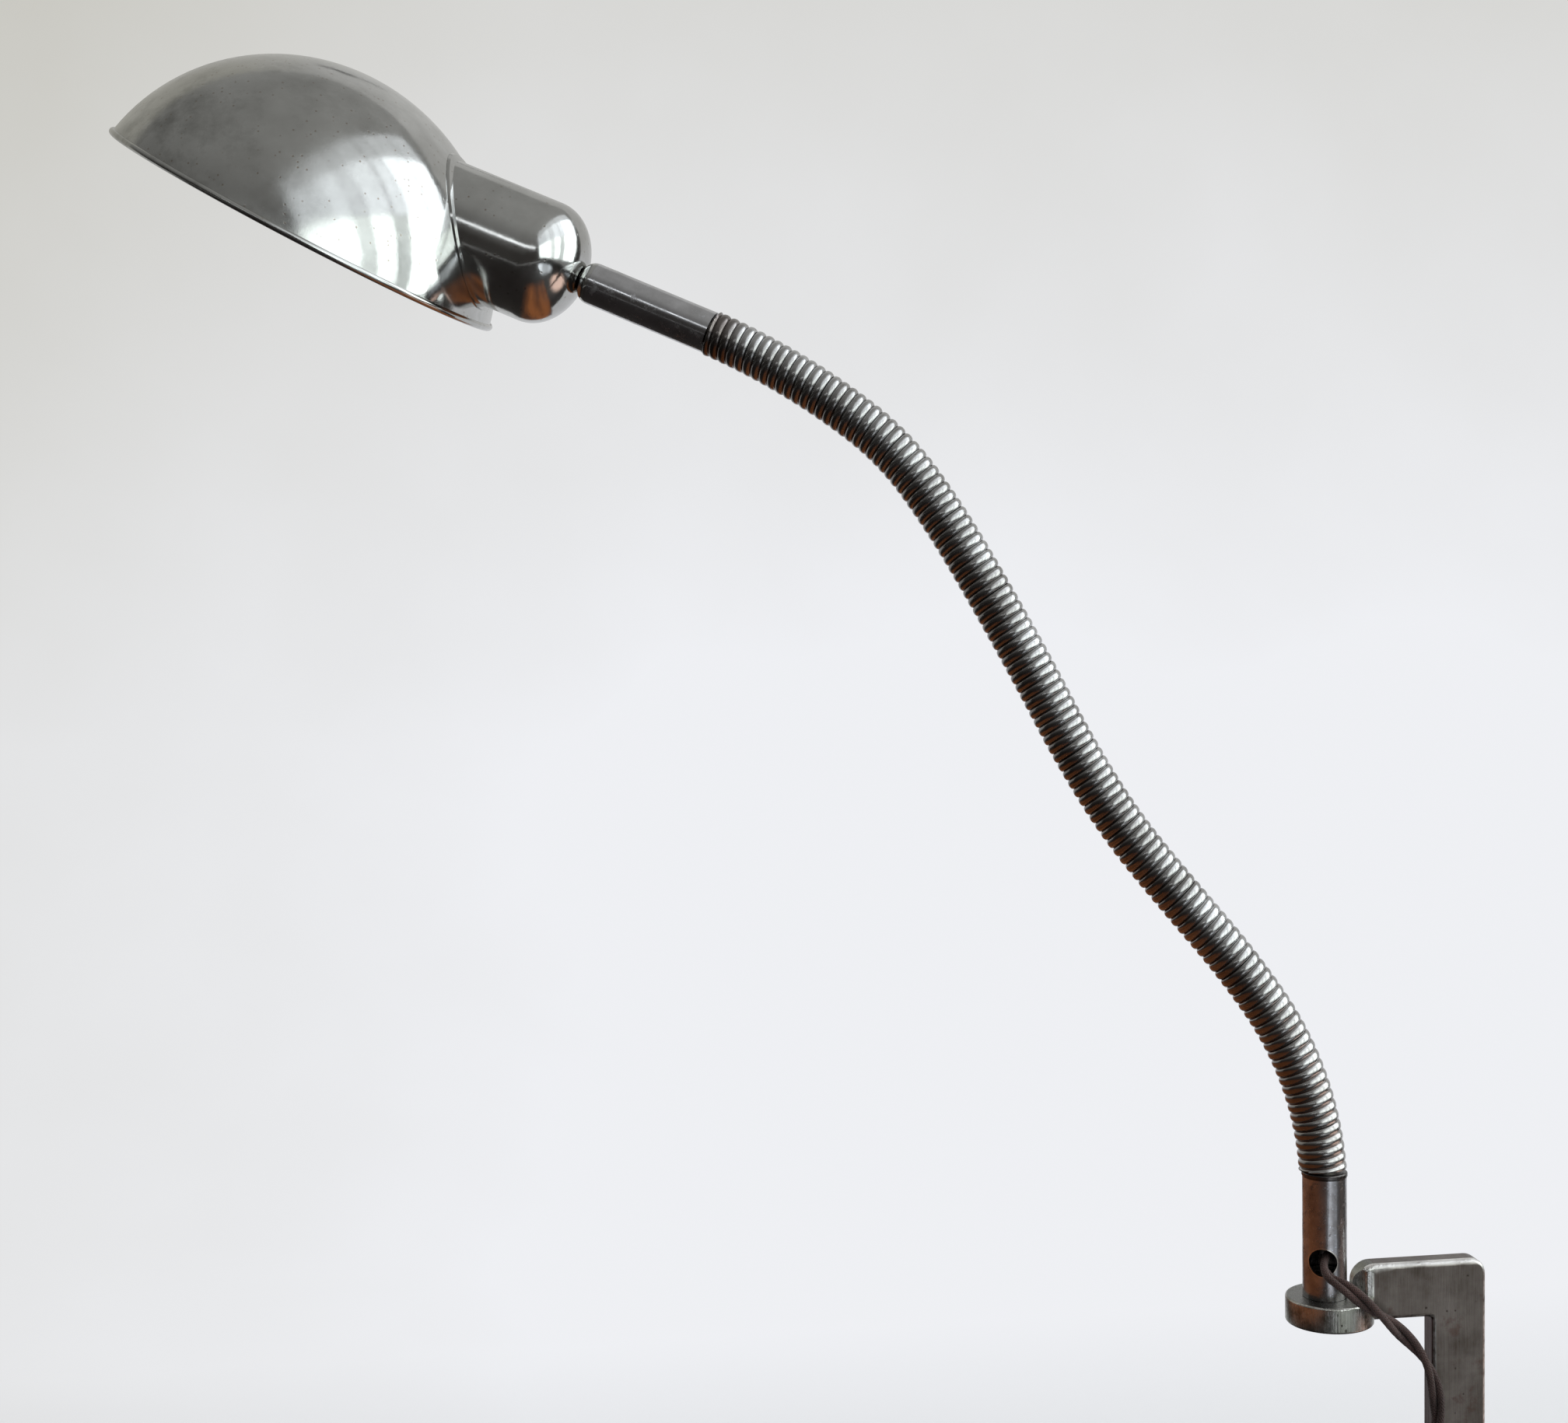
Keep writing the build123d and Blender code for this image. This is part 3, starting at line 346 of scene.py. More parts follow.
# Threads of a braid or a plain weave: Height for the bump, and Gap for the dark places between threads
weave, weave_in, weave_out = new_effect(
    "weave", ("Height", "Gap"), Threads_round=8.0, Threads_along=4.0, Place=(0.0, 0.0, 0.0)
)
weave_parts = parts(weave_in["Place"])
weave_round = times(weave_parts["X"], weave_in["Threads round"])
weave_along = times(weave_parts["Y"], weave_in["Threads along"])
weave_crossings = []
for direction in ("ADD", "SUBTRACT"):
    lean = sums(direction, weave_round, weave_along)
    wave = sums("SINE", times(lean, pi))
    weave_crossings.append(sums("ABSOLUTE", wave))
weave_height = sums("MAXIMUM", *weave_crossings)
feed(weave_out["Height"], weave_height)
feed(weave_out["Gap"], remap(weave_height, 0.75, 0.35))

cord_braid, cord_tree, cord_skin = new_finish("cord_braid", Sheen_Weight=0.08, Sheen_Roughness=0.5)
cord_threads = use_effect(
    cord_tree, weave, Threads_round=8.0, Threads_along=8.0, Place=braid_place(cord_tree)
)
cord_space = coordinates(cord_tree)["Object"]
cord_fade = grain(cord_space, 90.0, 4.0)
cord_fluff = grain(cord_space, 2600.0, 2.0)
cord_brown = mixed(remap(cord_fade, 0.35, 0.7), (0.030, 0.011, 0.0085), (0.066, 0.027, 0.021))
cord_brown = mixed(cord_threads["Gap"], cord_brown, (0.006, 0.003, 0.0025))
cord_relief = sums("MULTIPLY_ADD", cord_fluff, 0.25, cord_threads["Height"])
surface(cord_skin, cord_brown, remap(cord_fluff, 0.3, 0.7, 0.62, 0.85), raised(cord_relief, 0.0004, 0.9))

switch_line = cord_line(stem_to_switch)
switch_cord = twisted_cord("switch_cord", switch_line, cord_braid)
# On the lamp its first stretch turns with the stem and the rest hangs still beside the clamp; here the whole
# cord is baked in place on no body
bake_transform(switch_cord)
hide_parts("cord_upper")

# Mains cord, from the switch to the plug.
# The spare length hangs in a neat coil of six turns in two layers: it spirals in, climbs to the
# back layer and spirals out again, then drops into the plug.
coil_radius = 0.047
coil_pitch = 0.0073
coil_layer_turns = 3
coil_points_per_turn = 16
coil_heart = Vector((-0.0104, -0.0110, -0.2664))
# A spline passes this much inside the corners of a ring of 16 points
coil_corner = 1.0194
switch_to_plug = [(0.0366, -0.0110, -0.2076), (0.0366, -0.0110, -0.2300), (0.0366, -0.0110, -0.2500)]
coil_steps = 2 * coil_layer_turns * coil_points_per_turn
for step in range(coil_steps + 1):
    turns = step / coil_points_per_turn
    past_middle = turns - coil_layer_turns
    radius = coil_radius - coil_pitch * (coil_layer_turns - abs(past_middle))
    layer = min(1.0, max(0.0, 2 * past_middle + 0.5))
    angle = 2 * pi * turns
    reach = radius * (coil_corner if 0 < step < coil_steps else 1.0)
    offset = (reach * cos(angle), coil_pitch * layer, -reach * sin(angle))
    switch_to_plug.append(tuple(heart + way for heart, way in zip(coil_heart, offset)))
switch_to_plug += [(0.0366, -0.0037, -0.2840), (0.0366, -0.0037, -0.3100), (0.0366, -0.0037, -0.3405)]

plug_line = cord_line(switch_to_plug)
plug_cord = twisted_cord("plug_cord", plug_line, cord_braid)
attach(plug_cord, "clamp")
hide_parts("cord_middle", "cord_coil", "cord_tail")

# Tie of the coil.
# A narrow strip of dark woven tape, wound one and a half times round the six turns at the coil's
# top, with its end tucked under and its edges turned over.
tie_low = coil_heart.z + 0.023175
tie_high = coil_heart.z + 0.048925
tie_middle = Vector((coil_heart.x, coil_heart.y + coil_pitch / 2, (tie_low + tie_high) / 2))
tie_depth = coil_pitch + cord_width + 0.0009
tie_tape = 0.0005
tie_half_width = 0.004
tie_corner = 0.0033
tie_corner_steps = 6
# How far the tape's underside stands off the cord in its first and second turn
tie_first_turn = 0.0001
tie_second_turn = 0.0007
# The second turn stops after this many of its 28 points
tie_second_points = 18
tie_underside = 0.00002
# Points across the tape, as shares of its half width and of its thickness
tie_section = [(-1, 0.5), (-0.86, 1), (-0.5, 0.9), (0, 0.95), (0.5, 0.9), (0.86, 1), (1, 0.5)]
tie_section_middle = 3
# The tape's UV map counts hundredths of a metre
tie_map_size = 0.01


def tie_ring(grow):
    """Points round the coil's section: a rectangle with round corners, grown outwards."""
    half_y = tie_depth / 2 + grow
    half_z = (tie_high - tie_low) / 2 + grow
    corner = tie_corner + grow
    points = []
    for quarter, (side_y, side_z) in enumerate(((1, 1), (-1, 1), (-1, -1), (1, -1))):
        for part in range(tie_corner_steps + 1):
            turn = pi / 2 * (quarter + part / tie_corner_steps)
            y = side_y * (half_y - corner) + corner * cos(turn)
            z = side_z * (half_z - corner) + corner * sin(turn)
            points.append(Vector((0, y, z)))
    return points


def strap_outline(row):
    """The corners round one section of the tape."""
    return [outer for outer, inner in row] + [inner for outer, inner in reversed(row)]


strap = bmesh.new()
strap_map = strap.loops.layers.uv.new("UVMap")
strap_path = tie_ring(tie_first_turn) + tie_ring(tie_second_turn)[:tie_second_points]
strap_rows = []
for index, place in enumerate(strap_path):
    along = heading_at(strap_path, index)
    out = Vector((0, along.z, -along.y))
    row = []
    for share, crown in tie_section:
        base = tie_middle + Vector((tie_half_width * share, place.y, place.z))
        outer = strap.verts.new(base + out * tie_tape * crown)
        inner = strap.verts.new(base + out * tie_underside)
        row.append((outer, inner))
    strap_rows.append(row)
strap_turn = 0.0
for row, next_row in zip(strap_rows, strap_rows[1:]):
    run = (next_row[tie_section_middle][0].co - row[tie_section_middle][0].co).length
    outline = strap_outline(row)
    next_outline = strap_outline(next_row)
    for place in range(len(outline)):
        onward = (place + 1) % len(outline)
        face = strap.faces.new((outline[place], outline[onward], next_outline[onward], next_outline[place]))
        face.smooth = True
        for loop, step in zip(face.loops, (0, 0, 1, 1)):
            across = loop.vert.co.x - tie_middle.x
            loop[strap_map].uv = (across / tie_map_size, (strap_turn + step * run) / tie_map_size)
    strap_turn += run
for row in (strap_rows[0], strap_rows[-1]):
    strap.faces.new(strap_outline(row))
bmesh.ops.recalc_face_normals(strap, faces=strap.faces)

tape_cloth, tape_tree, tape_skin = new_finish("tape_cloth", Sheen_Weight=0.2)
tape_threads = use_effect(
    tape_tree, weave, Threads_round=14.0, Threads_along=14.0, Place=braid_place(tape_tree)
)
tape_fade = grain(coordinates(tape_tree)["Object"], 160.0)
tape_colour = mixed(tape_fade, (0.040, 0.028, 0.022), (0.085, 0.062, 0.049))
tape_colour = mixed(tape_threads["Gap"], tape_colour, (0.01, 0.008, 0.007))
tape_dull = remap(tape_fade, 0.3, 0.7, 0.7, 0.9)
surface(tape_skin, tape_colour, tape_dull, raised(tape_threads["Height"], 0.0004, 0.9))
coil_strap = new_piece("coil_strap", mesh_of("coil_strap", strap, tape_cloth))
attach(coil_strap, "clamp")
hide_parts("coil_tie")

# Clamp frame.
# A flat steel bar bent round in a C, with a turned jaw disc above the table and a threaded boss
# below. Its plating has gone brown-grey on the brushed faces and is rubbed bright on the edges,
# with a painted highlight on the front's top and corner, and painted shade on the disc's top and
# in the throat.

# Age of a metal skin: Cloud is its haze, Speck its pits and rust spots, Scratch its fine lines
age, age_in, age_out = new_effect(
    "age",
    ("Cloud", "Speck", "Scratch"),
    Cloud_scale=30.0,
    Speck_scale=500.0,
    Speck_share=0.12,
    Grain=(40.0, 40.0, 40.0),
)
age_place = coordinates(age)["Object"]
age_cloud = grain(age_place, age_in["Cloud scale"], 6.0, 0.6)
feed(age_out["Cloud"], remap(age_cloud, 0.32, 0.68))
age_cells = age.nodes.new("ShaderNodeTexVoronoi")
feed(age_cells.inputs["Vector"], age_place)
feed(age_cells.inputs["Scale"], age_in["Speck scale"])
age_pick = parts(age_cells.outputs["Color"])
age_chosen = sums("LESS_THAN", age_pick["X"], age_in["Speck share"])
age_dot = remap(age_cells.outputs["Distance"], 0.34, 0.16)
feed(age_out["Speck"], times(age_chosen, age_dot))
age_lines = grain(vector_sums("MULTIPLY", age_place, age_in["Grain"]), 1.0, 5.0, 0.65)
feed(age_out["Scratch"], remap(age_lines, 0.38, 0.72))

# Edges rubbed bright where a flat face turns over: Mask is 1 on the turn
rubbed, rubbed_in, rubbed_out = new_effect("rubbed", ("Mask",), Face=(0.0, 1.0, 0.0), Patch_scale=120.0)
rubbed_space = coordinates(rubbed)
rubbed_lean = sums("ABSOLUTE", vector_sums("DOT_PRODUCT", rubbed_space["Normal"], rubbed_in["Face"]))
rubbed_turn = times(remap(rubbed_lean, 0.995, 0.93), remap(rubbed_lean, 0.05, 0.3))
rubbed_patches = grain(rubbed_space["Object"], rubbed_in["Patch scale"], 6.0, 0.65)
feed(rubbed_out["Mask"], times(rubbed_turn, remap(rubbed_patches, 0.34, 0.56)))


def dress(finish, *nodes):
    """Gives CAD nodes their finish."""
    for node in nodes:
        for material_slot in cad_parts[node].material_slots:
            material_slot.material = finish


clamp_steel, clamp_tree, clamp_skin = new_finish("clamp_steel", Metallic=1.0)
clamp_age = use_effect(
    clamp_tree, age, Cloud_scale=75.0, Speck_scale=620.0, Speck_share=0.035, Grain=(1500.0, 1500.0, 60.0)
)
clamp_edge = use_effect(clamp_tree, rubbed, Face=(0.0, 1.0, 0.0), Patch_scale=260.0)["Mask"]
clamp_place = coordinates(clamp_tree)["Object"]
clamp_parts = parts(clamp_place)
clamp_x = clamp_parts["X"]
clamp_z = clamp_parts["Z"]
# The jaw disc keeps more of its plating than the bar
disc_radius = 0.01605
disc_reach = vector_sums("LENGTH", vector_sums("MULTIPLY", clamp_place, (1.0, 1.0, 0.0)))
on_disc = times(sums("LESS_THAN", disc_reach, disc_radius), sums("GREATER_THAN", clamp_z, -0.001))
clamp_brown = mixed(clamp_age["Cloud"], (0.088, 0.069, 0.056), (0.200, 0.172, 0.152))
clamp_brown = mixed(times(clamp_age["Scratch"], 0.3), clamp_brown, (0.34, 0.315, 0.285))
clamp_rust = remap(grain(clamp_place, 140.0, 5.0, 0.65), 0.58, 0.68)
clamp_brown = mixed(times(clamp_rust, 0.5), clamp_brown, (0.10, 0.048, 0.036))
disc_plate_and_shade = mixed(clamp_age["Cloud"], (0.15, 0.145, 0.115), (0.36, 0.36, 0.31))
# The disc's top face is painted darker, as painted shade
disc_lean = vector_sums("DOT_PRODUCT", coordinates(clamp_tree)["Normal"], (0.0, 0.0, 1.0))
disc_plate_and_shade = mixed(remap(disc_lean, 0.8, 0.98, 0.0, 0.7), disc_plate_and_shade, (0.115, 0.115, 0.105))
clamp_colour = mixed(on_disc, clamp_brown, disc_plate_and_shade)
# Hands have polished the front of the bar along its top and round its free corner, and a painted highlight
# there fades softly away from the edge
bright_corner_x = 0.0165
bright_corner_z = 0.0137
bright_radius = 0.0075
bright_edge_x = 0.0124
bright_back = -0.0025
corner_x = sums("MAXIMUM", sums("SUBTRACT", bright_corner_x, clamp_x), 0.0)
corner_z = sums("MAXIMUM", sums("SUBTRACT", clamp_z, bright_corner_z), 0.0)
corner_reach = sums("SQRT", sums("MULTIPLY_ADD", corner_x, corner_x, times(corner_z, corner_z)))
edge_gap = sums("SUBTRACT", bright_radius, corner_reach)
edge_gap = sums("MINIMUM", edge_gap, sums("SUBTRACT", clamp_x, bright_edge_x))
edge_width = remap(clamp_x, 0.014, 0.024, 0.0042, 0.0022)
polish_and_highlight = sums("SUBTRACT", 1.0, sums("DIVIDE", edge_gap, edge_width))
polish_and_highlight = sums("POWER", sums("MINIMUM", sums("MAXIMUM", polish_and_highlight, 0.0), 1.0), 1.4)
for bright_limit in (
    sums("GREATER_THAN", clamp_x, bright_edge_x - 0.0001),
    remap(clamp_z, 0.006, 0.013),
    sums("LESS_THAN", clamp_parts["Y"], bright_back),
    remap(clamp_age["Cloud"], 0.0, 0.5, 0.55, 1.0),
):
    polish_and_highlight = times(polish_and_highlight, bright_limit)
clamp_edge = sums("MAXIMUM", times(clamp_edge, 0.6), polish_and_highlight)
clamp_colour = mixed(clamp_edge, clamp_colour, (0.93, 0.91, 0.89))
clamp_colour = mixed(times(clamp_age["Speck"], 0.75), clamp_colour, (0.03, 0.02, 0.016))
# The throat never gets polished: its inner face has gone dark red-brown, and is painted darker still as shade
# in the recess
throat_oxide_and_shade = times(sums("LESS_THAN", clamp_z, 0.0002), sums("LESS_THAN", clamp_x, 0.0384))
throat_oxide_and_shade = times(throat_oxide_and_shade, sums("GREATER_THAN", clamp_x, 0.0362))
clamp_colour = mixed(throat_oxide_and_shade, clamp_colour, (0.046, 0.021, 0.018))
clamp_dull = remap(clamp_age["Scratch"], 0.0, 1.0, 0.30, 0.46)
clamp_dull = sums("MULTIPLY_ADD", clamp_edge, 0.05, clamp_dull)
clamp_dull = sums("MULTIPLY_ADD", on_disc, -0.14, clamp_dull)
clamp_relief = sums("MULTIPLY_ADD", clamp_age["Speck"], -0.8, clamp_age["Scratch"])
clamp_relief = sums("MULTIPLY_ADD", polish_and_highlight, -14.0, clamp_relief)
surface(clamp_skin, clamp_colour, clamp_dull, raised(clamp_relief, 0.00008, 0.6))
dress(clamp_steel, "clamp_frame")

# Clamp screw, swivel pad and wing.
# A steel screw with a rolled round thread runs through the boss. Its button turns in a closed pad
# that presses on the table from below, and a cast wing is pressed on its lower end.
screw_pitch = 0.0015
screw_crest = 0.0050
screw_root = 0.00425
screw_thread_top = -0.0560
screw_thread_turns = 43
screw_segments = 48
screw_foot = 0.1350
screw_foot_radius = 0.0048


def new_winding():
    """Turns of wire or thread round a line. Rows follow the helix, so each groove stays sharp."""
    tree = bpy.data.node_groups.new("winding", "GeometryNodeTree")
    tree.interface.new_socket("Geometry", in_out="OUTPUT", socket_type="NodeSocketGeometry")
    sockets = {}
    for kind, labels in (
        ("NodeSocketObject", ("Line",)),
        ("NodeSocketInt", ("Turns", "Rows", "Around")),
        ("NodeSocketFloat", ("First turn", "Start", "End", "Pitch", "Crest", "Root", "Wall")),
        ("NodeSocketVector", ("Side",)),
        ("NodeSocketMaterial", ("Finish",)),
    ):
        for label in labels:
            sockets[label] = tree.interface.new_socket(label, in_out="INPUT", socket_type=kind).identifier
    given = tree.nodes.new("NodeGroupInput").outputs
    line = tree.nodes.new("GeometryNodeObjectInfo")
    feed(line.inputs["Object"], given["Line"])

    def sheet_of(rows):
        """A flat sheet, one unit long and one wide, that is then wrapped round the line."""
        grid = tree.nodes.new("GeometryNodeMeshGrid")
        grid.inputs["Size X"].default_value = 1.0
        grid.inputs["Size Y"].default_value = 1.0
        feed(grid.inputs["Vertices X"], rows)
        feed(grid.inputs["Vertices Y"], sums("ADD", given["Around"], 1.0))
        place = parts(tree.nodes.new("GeometryNodeInputPosition").outputs[0])
        length = sums("ADD", place["X"], 0.5)
        row = sums("SUBTRACT", times(length, rows), length)
        return grid.outputs["Mesh"], sums("ROUND", row), sums("ADD", place["Y"], 0.5)

    def wrapped(sheet, turn, share, radius, groove):
        """Lays each point at a turn along the line, a share of the way round it and a radius out."""
        along = times(sums("ADD", turn, share), given["Pitch"])
        along = sums("MAXIMUM", sums("MINIMUM", along, given["End"]), given["Start"])
        station = tree.nodes.new("GeometryNodeSampleCurve")
        station.mode = "LENGTH"
        feed(station.inputs["Curves"], line.outputs["Geometry"])
        feed(station.inputs["Length"], along)
        ahead = vector_sums("NORMALIZE", station.outputs["Tangent"])
        beside = vector_sums("CROSS_PRODUCT", ahead, given["Side"])
        angle = times(share, 2 * pi)
        across = vector_sums("SCALE", given["Side"], scale=times(sums("COSINE", angle), radius))
        beside = vector_sums("SCALE", beside, scale=times(sums("SINE", angle), radius))
        place = vector_sums("ADD", station.outputs["Position"], vector_sums("ADD", across, beside))
        marked = sheet
        for label, value in (("groove", groove), ("along", sums("DIVIDE", along, given["End"]))):
            store = tree.nodes.new("GeometryNodeStoreNamedAttribute")
            store.data_type = "FLOAT"
            store.domain = "POINT"
            feed(store.inputs["Geometry"], marked)
            store.inputs["Name"].default_value = label
            feed(store.inputs["Value"], value)
            marked = store.outputs["Geometry"]
        move = tree.nodes.new("GeometryNodeSetPosition")
        feed(move.inputs["Geometry"], marked)
        feed(move.inputs["Position"], place)
        return move.outputs["Geometry"]

    # Outer face: the rows of a turn stand closer together near the groove
    outer, row, share = sheet_of(sums("ADD", times(given["Turns"], given["Rows"]), 1.0))
    phase = sums("DIVIDE", row, given["Rows"])
    whole = sums("FLOOR", sums("ADD", phase, 0.001))
    part = times(sums("SUBTRACT", phase, whole), pi)
    eased = sums("DIVIDE", sums("SUBTRACT", 1.0, sums("COSINE", part)), 2.0)
    swell = sums("ABSOLUTE", sums("SINE", part))
    turn = sums("ADD", sums("ADD", given["First turn"], whole), eased)
    rise = sums("SUBTRACT", given["Crest"], given["Root"])
    radius = sums("MULTIPLY_ADD", rise, swell, given["Root"])
    outer = wrapped(outer, turn, share, radius, sums("SUBTRACT", 1.0, swell))
    flip = tree.nodes.new("GeometryNodeFlipFaces")
    feed(flip.inputs["Mesh"], outer)

    # Inner face: ten rows, whose first and last close the wall at both ends
    inner_rows = 10
    inner, row, share = sheet_of(inner_rows)
    inside = times(sums("GREATER_THAN", row, 0.5), sums("LESS_THAN", row, inner_rows - 1.5))
    depth = sums("SUBTRACT", given["Wall"], given["Root"])
    radius = sums("MULTIPLY_ADD", inside, depth, given["Root"])
    run = sums("DIVIDE", sums("SUBTRACT", row, 1.0), inner_rows - 3.0)
    run = sums("MINIMUM", sums("MAXIMUM", run, 0.0), 1.0)
    turn = sums("MULTIPLY_ADD", run, given["Turns"], given["First turn"])
    inner = wrapped(inner, turn, share, radius, 1.0)

    both = tree.nodes.new("GeometryNodeJoinGeometry")
    tree.links.new(inner, both.inputs[0])
    tree.links.new(flip.outputs["Mesh"], both.inputs[0])
    merge = tree.nodes.new("GeometryNodeMergeByDistance")
    feed(merge.inputs["Geometry"], both.outputs[0])
    merge.inputs["Distance"].default_value = 0.00001
    smooth = tree.nodes.new("GeometryNodeSetShadeSmooth")
    feed(smooth.inputs["Geometry"], merge.outputs[0])
    plain = tree.nodes.new("GeometryNodeRealizeInstances")
    feed(plain.inputs["Geometry"], smooth.outputs[0])
    paint = tree.nodes.new("GeometryNodeSetMaterial")
    feed(paint.inputs["Geometry"], plain.outputs[0])
    feed(paint.inputs["Material"], given["Finish"])
    tree.links.new(paint.outputs[0], tree.nodes.new("NodeGroupOutput").inputs[0])
    return tree, sockets


winding, winding_sockets = new_winding()


def straight_run(name, points):
    """A plain line of points, as a curve for a winding to follow."""
    return new_piece(name, curve_of(name, "POLY", points))


def wound(name, line, **values):
    """One mesh piece of turns round a line. Underscores in names stand for spaces."""
    piece = new_piece(name, bpy.data.meshes.new(name))
    turns = piece.modifiers.new("winding", "NODES")
    turns.node_group = winding
    turns[winding_sockets["Line"]] = line
    for label, value in values.items():
        turns[winding_sockets[label.replace("_", " ")]] = value
    bpy.context.view_layer.update()
    finished = bpy.data.meshes.new_from_object(piece.evaluated_get(bpy.context.evaluated_depsgraph_get()))
    piece.modifiers.remove(turns)
    piece.data = finished
    finished.name = name
    finished.materials.clear()
    finished.materials.append(values["Finish"])
    finished.polygons.foreach_set("material_index", [0] * len(finished.polygons))
    return piece


def turned_shape(shape, outline, segments):
    """Adds a form turned about the upright axis, from an outline of (distance down, radius)."""
    rings = []
    for distance, radius in outline:
        centre = Vector((0, 0, -distance))
        if radius == 0:
            rings.append([shape.verts.new(centre)])
        else:
            rings.append(ring_of(shape, centre, Vector((1, 0, 0)), Vector((0, -1, 0)), radius, segments))
    faces = []
    for ring, next_ring in zip(rings, rings[1:]):
        for step in range(segments):
            onward = (step + 1) % segments
            corners = [ring[step % len(ring)], ring[onward % len(ring)]]
            corners += [next_ring[onward % len(next_ring)], next_ring[step % len(next_ring)]]
            face = shape.faces.new(list(dict.fromkeys(corners)))
            face.smooth = True
            faces.append(face)
    bmesh.ops.recalc_face_normals(shape, faces=faces)


turned_steel, steel_tree, steel_skin = new_finish("turned_steel", Metallic=1.0)
steel_age = use_effect(
    steel_tree, age, Cloud_scale=140.0, Speck_scale=1400.0, Speck_share=0.2, Grain=(300.0, 300.0, 3000.0)
)
steel_colour = mixed(steel_age["Cloud"], (0.22, 0.20, 0.18), (0.42, 0.405, 0.38))
steel_colour = mixed(times(steel_age["Speck"], 0.8), steel_colour, (0.09, 0.05, 0.03))
steel_dull = remap(steel_age["Scratch"], 0.0, 1.0, 0.26, 0.44)
surface(steel_skin, steel_colour, steel_dull, raised(steel_age["Scratch"], 0.00004, 0.4))

screw_thread_length = screw_pitch * (screw_thread_turns + 1)
screw_line = straight_run("screw_line", [(0, 0, screw_thread_top - 0.002 * step) for step in range(40)])
screw_thread = wound(
    "screw_thread",
    screw_line,
    First_turn=0.0,
    Turns=screw_thread_turns,
    Start=0.0,
    End=screw_thread_length,
    Side=(1.0, 0.0, 0.0),
    Pitch=screw_pitch,
    Crest=screw_crest,
    Root=screw_root,
    Wall=0.0020,
    Rows=6,
    Around=40,
    Finish=turned_steel,
)
bpy.data.objects.remove(screw_line)
# The button at the top and the plain end below the thread, as (distance down, radius)
screw_button = [
    (0.04705, 0),
    (0.04705, 0.0034),
    (0.04755, 0.0039),
    (0.04915, 0.0039),
    (0.04965, 0.0034),
    (0.04975, 0.0030),
    (0.05330, 0.0030),
    (0.05345, 0.0042),
    (0.05420, 0.0049),
    (0.05600, 0.0049),
    (0.05640, 0.0040),
    (0.05640, 0),
]
# The plain end reaches a little way up into the thread
plain_top = screw_thread_length - screw_thread_top - 0.0004
screw_plain = [
    (plain_top, 0),
    (plain_top, screw_foot_radius),
    (screw_foot, screw_foot_radius),
    (screw_foot, 0),
]
screw_form = bmesh.new()
screw_form.from_mesh(screw_thread.data)
for outline in (screw_button, screw_plain):
    turned_shape(screw_form, outline, screw_segments)
screw_form.to_mesh(screw_thread.data)
screw_form.free()
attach(screw_thread, "screw")
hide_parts("clamp_screw")
dress(turned_steel, "swivel_pad")

cast_grip, grip_tree, grip_skin = new_finish("cast_grip", Metallic=1.0)
grip_age = use_effect(
    grip_tree, age, Cloud_scale=90.0, Speck_scale=700.0, Speck_share=0.25, Grain=(500.0, 500.0, 500.0)
)
grip_edge = use_effect(grip_tree, rubbed, Face=(0.0, 1.0, 0.0), Patch_scale=200.0)["Mask"]
grip_colour = mixed(grip_age["Cloud"], (0.16, 0.14, 0.125), (0.27, 0.25, 0.225))
grip_colour = mixed(grip_edge, grip_colour, (0.62, 0.60, 0.56))
grip_colour = mixed(times(grip_age["Speck"], 0.7), grip_colour, (0.06, 0.045, 0.035))
grip_dull = sums("MULTIPLY_ADD", grip_edge, -0.2, 0.55)
surface(grip_skin, grip_colour, grip_dull, raised(grip_age["Scratch"], 0.00012, 0.7))
dress(cast_grip, "wing_grip")

# Stem and its pivot.
# The lower tube is nickel-plated brass, worn to brown in patches, with a bead rolled on its top
# and a bush in its foot that turns on a shoulder screw in the jaw. A ferrule holds the neck's end.
tube_nickel, tube_tree, tube_skin = new_finish("tube_nickel", Metallic=1.0)
tube_age = use_effect(
    tube_tree, age, Cloud_scale=110.0, Speck_scale=1100.0, Speck_share=0.2, Grain=(900.0, 900.0, 45.0)
)
tube_place = coordinates(tube_tree)["Object"]
tube_z = parts(tube_place)["Z"]
tube_colour = mixed(tube_age["Cloud"], (0.20, 0.175, 0.165), (0.46, 0.46, 0.48))
tube_rust = remap(grain(tube_place, 260.0, 6.0, 0.7), 0.56, 0.66)
tube_colour = mixed(times(tube_rust, 0.55), tube_colour, (0.085, 0.050, 0.036))
tube_colour = mixed(times(tube_age["Speck"], 0.6), tube_colour, (0.62, 0.66, 0.74))
# The upper tube has kept more of its plating
tube_upper = sums("GREATER_THAN", tube_z, 0.2)
tube_bright = mixed(tube_age["Cloud"], (0.50, 0.50, 0.51), (0.66, 0.66, 0.68))
tube_colour = mixed(times(tube_upper, 0.9), tube_colour, tube_bright)
# The cord has rubbed the edge of its hole
hole_middle = (-0.00536, -0.00717, 0.0239)
hole_facing = (-0.4446, -0.8957, 0.0)
hole_way = vector_sums("SUBTRACT", tube_place, hole_middle)
hole_depth = vector_sums("DOT_PRODUCT", hole_way, hole_facing)
hole_axis = vector_sums("SCALE", hole_facing, scale=hole_depth)
hole_reach = vector_sums("LENGTH", vector_sums("SUBTRACT", hole_way, hole_axis))
hole_rub = times(remap(hole_reach, 0.0056, 0.0051), sums("GREATER_THAN", hole_depth, -0.0040))
tube_colour = mixed(times(hole_rub, 0.8), tube_colour, (0.72, 0.66, 0.56))
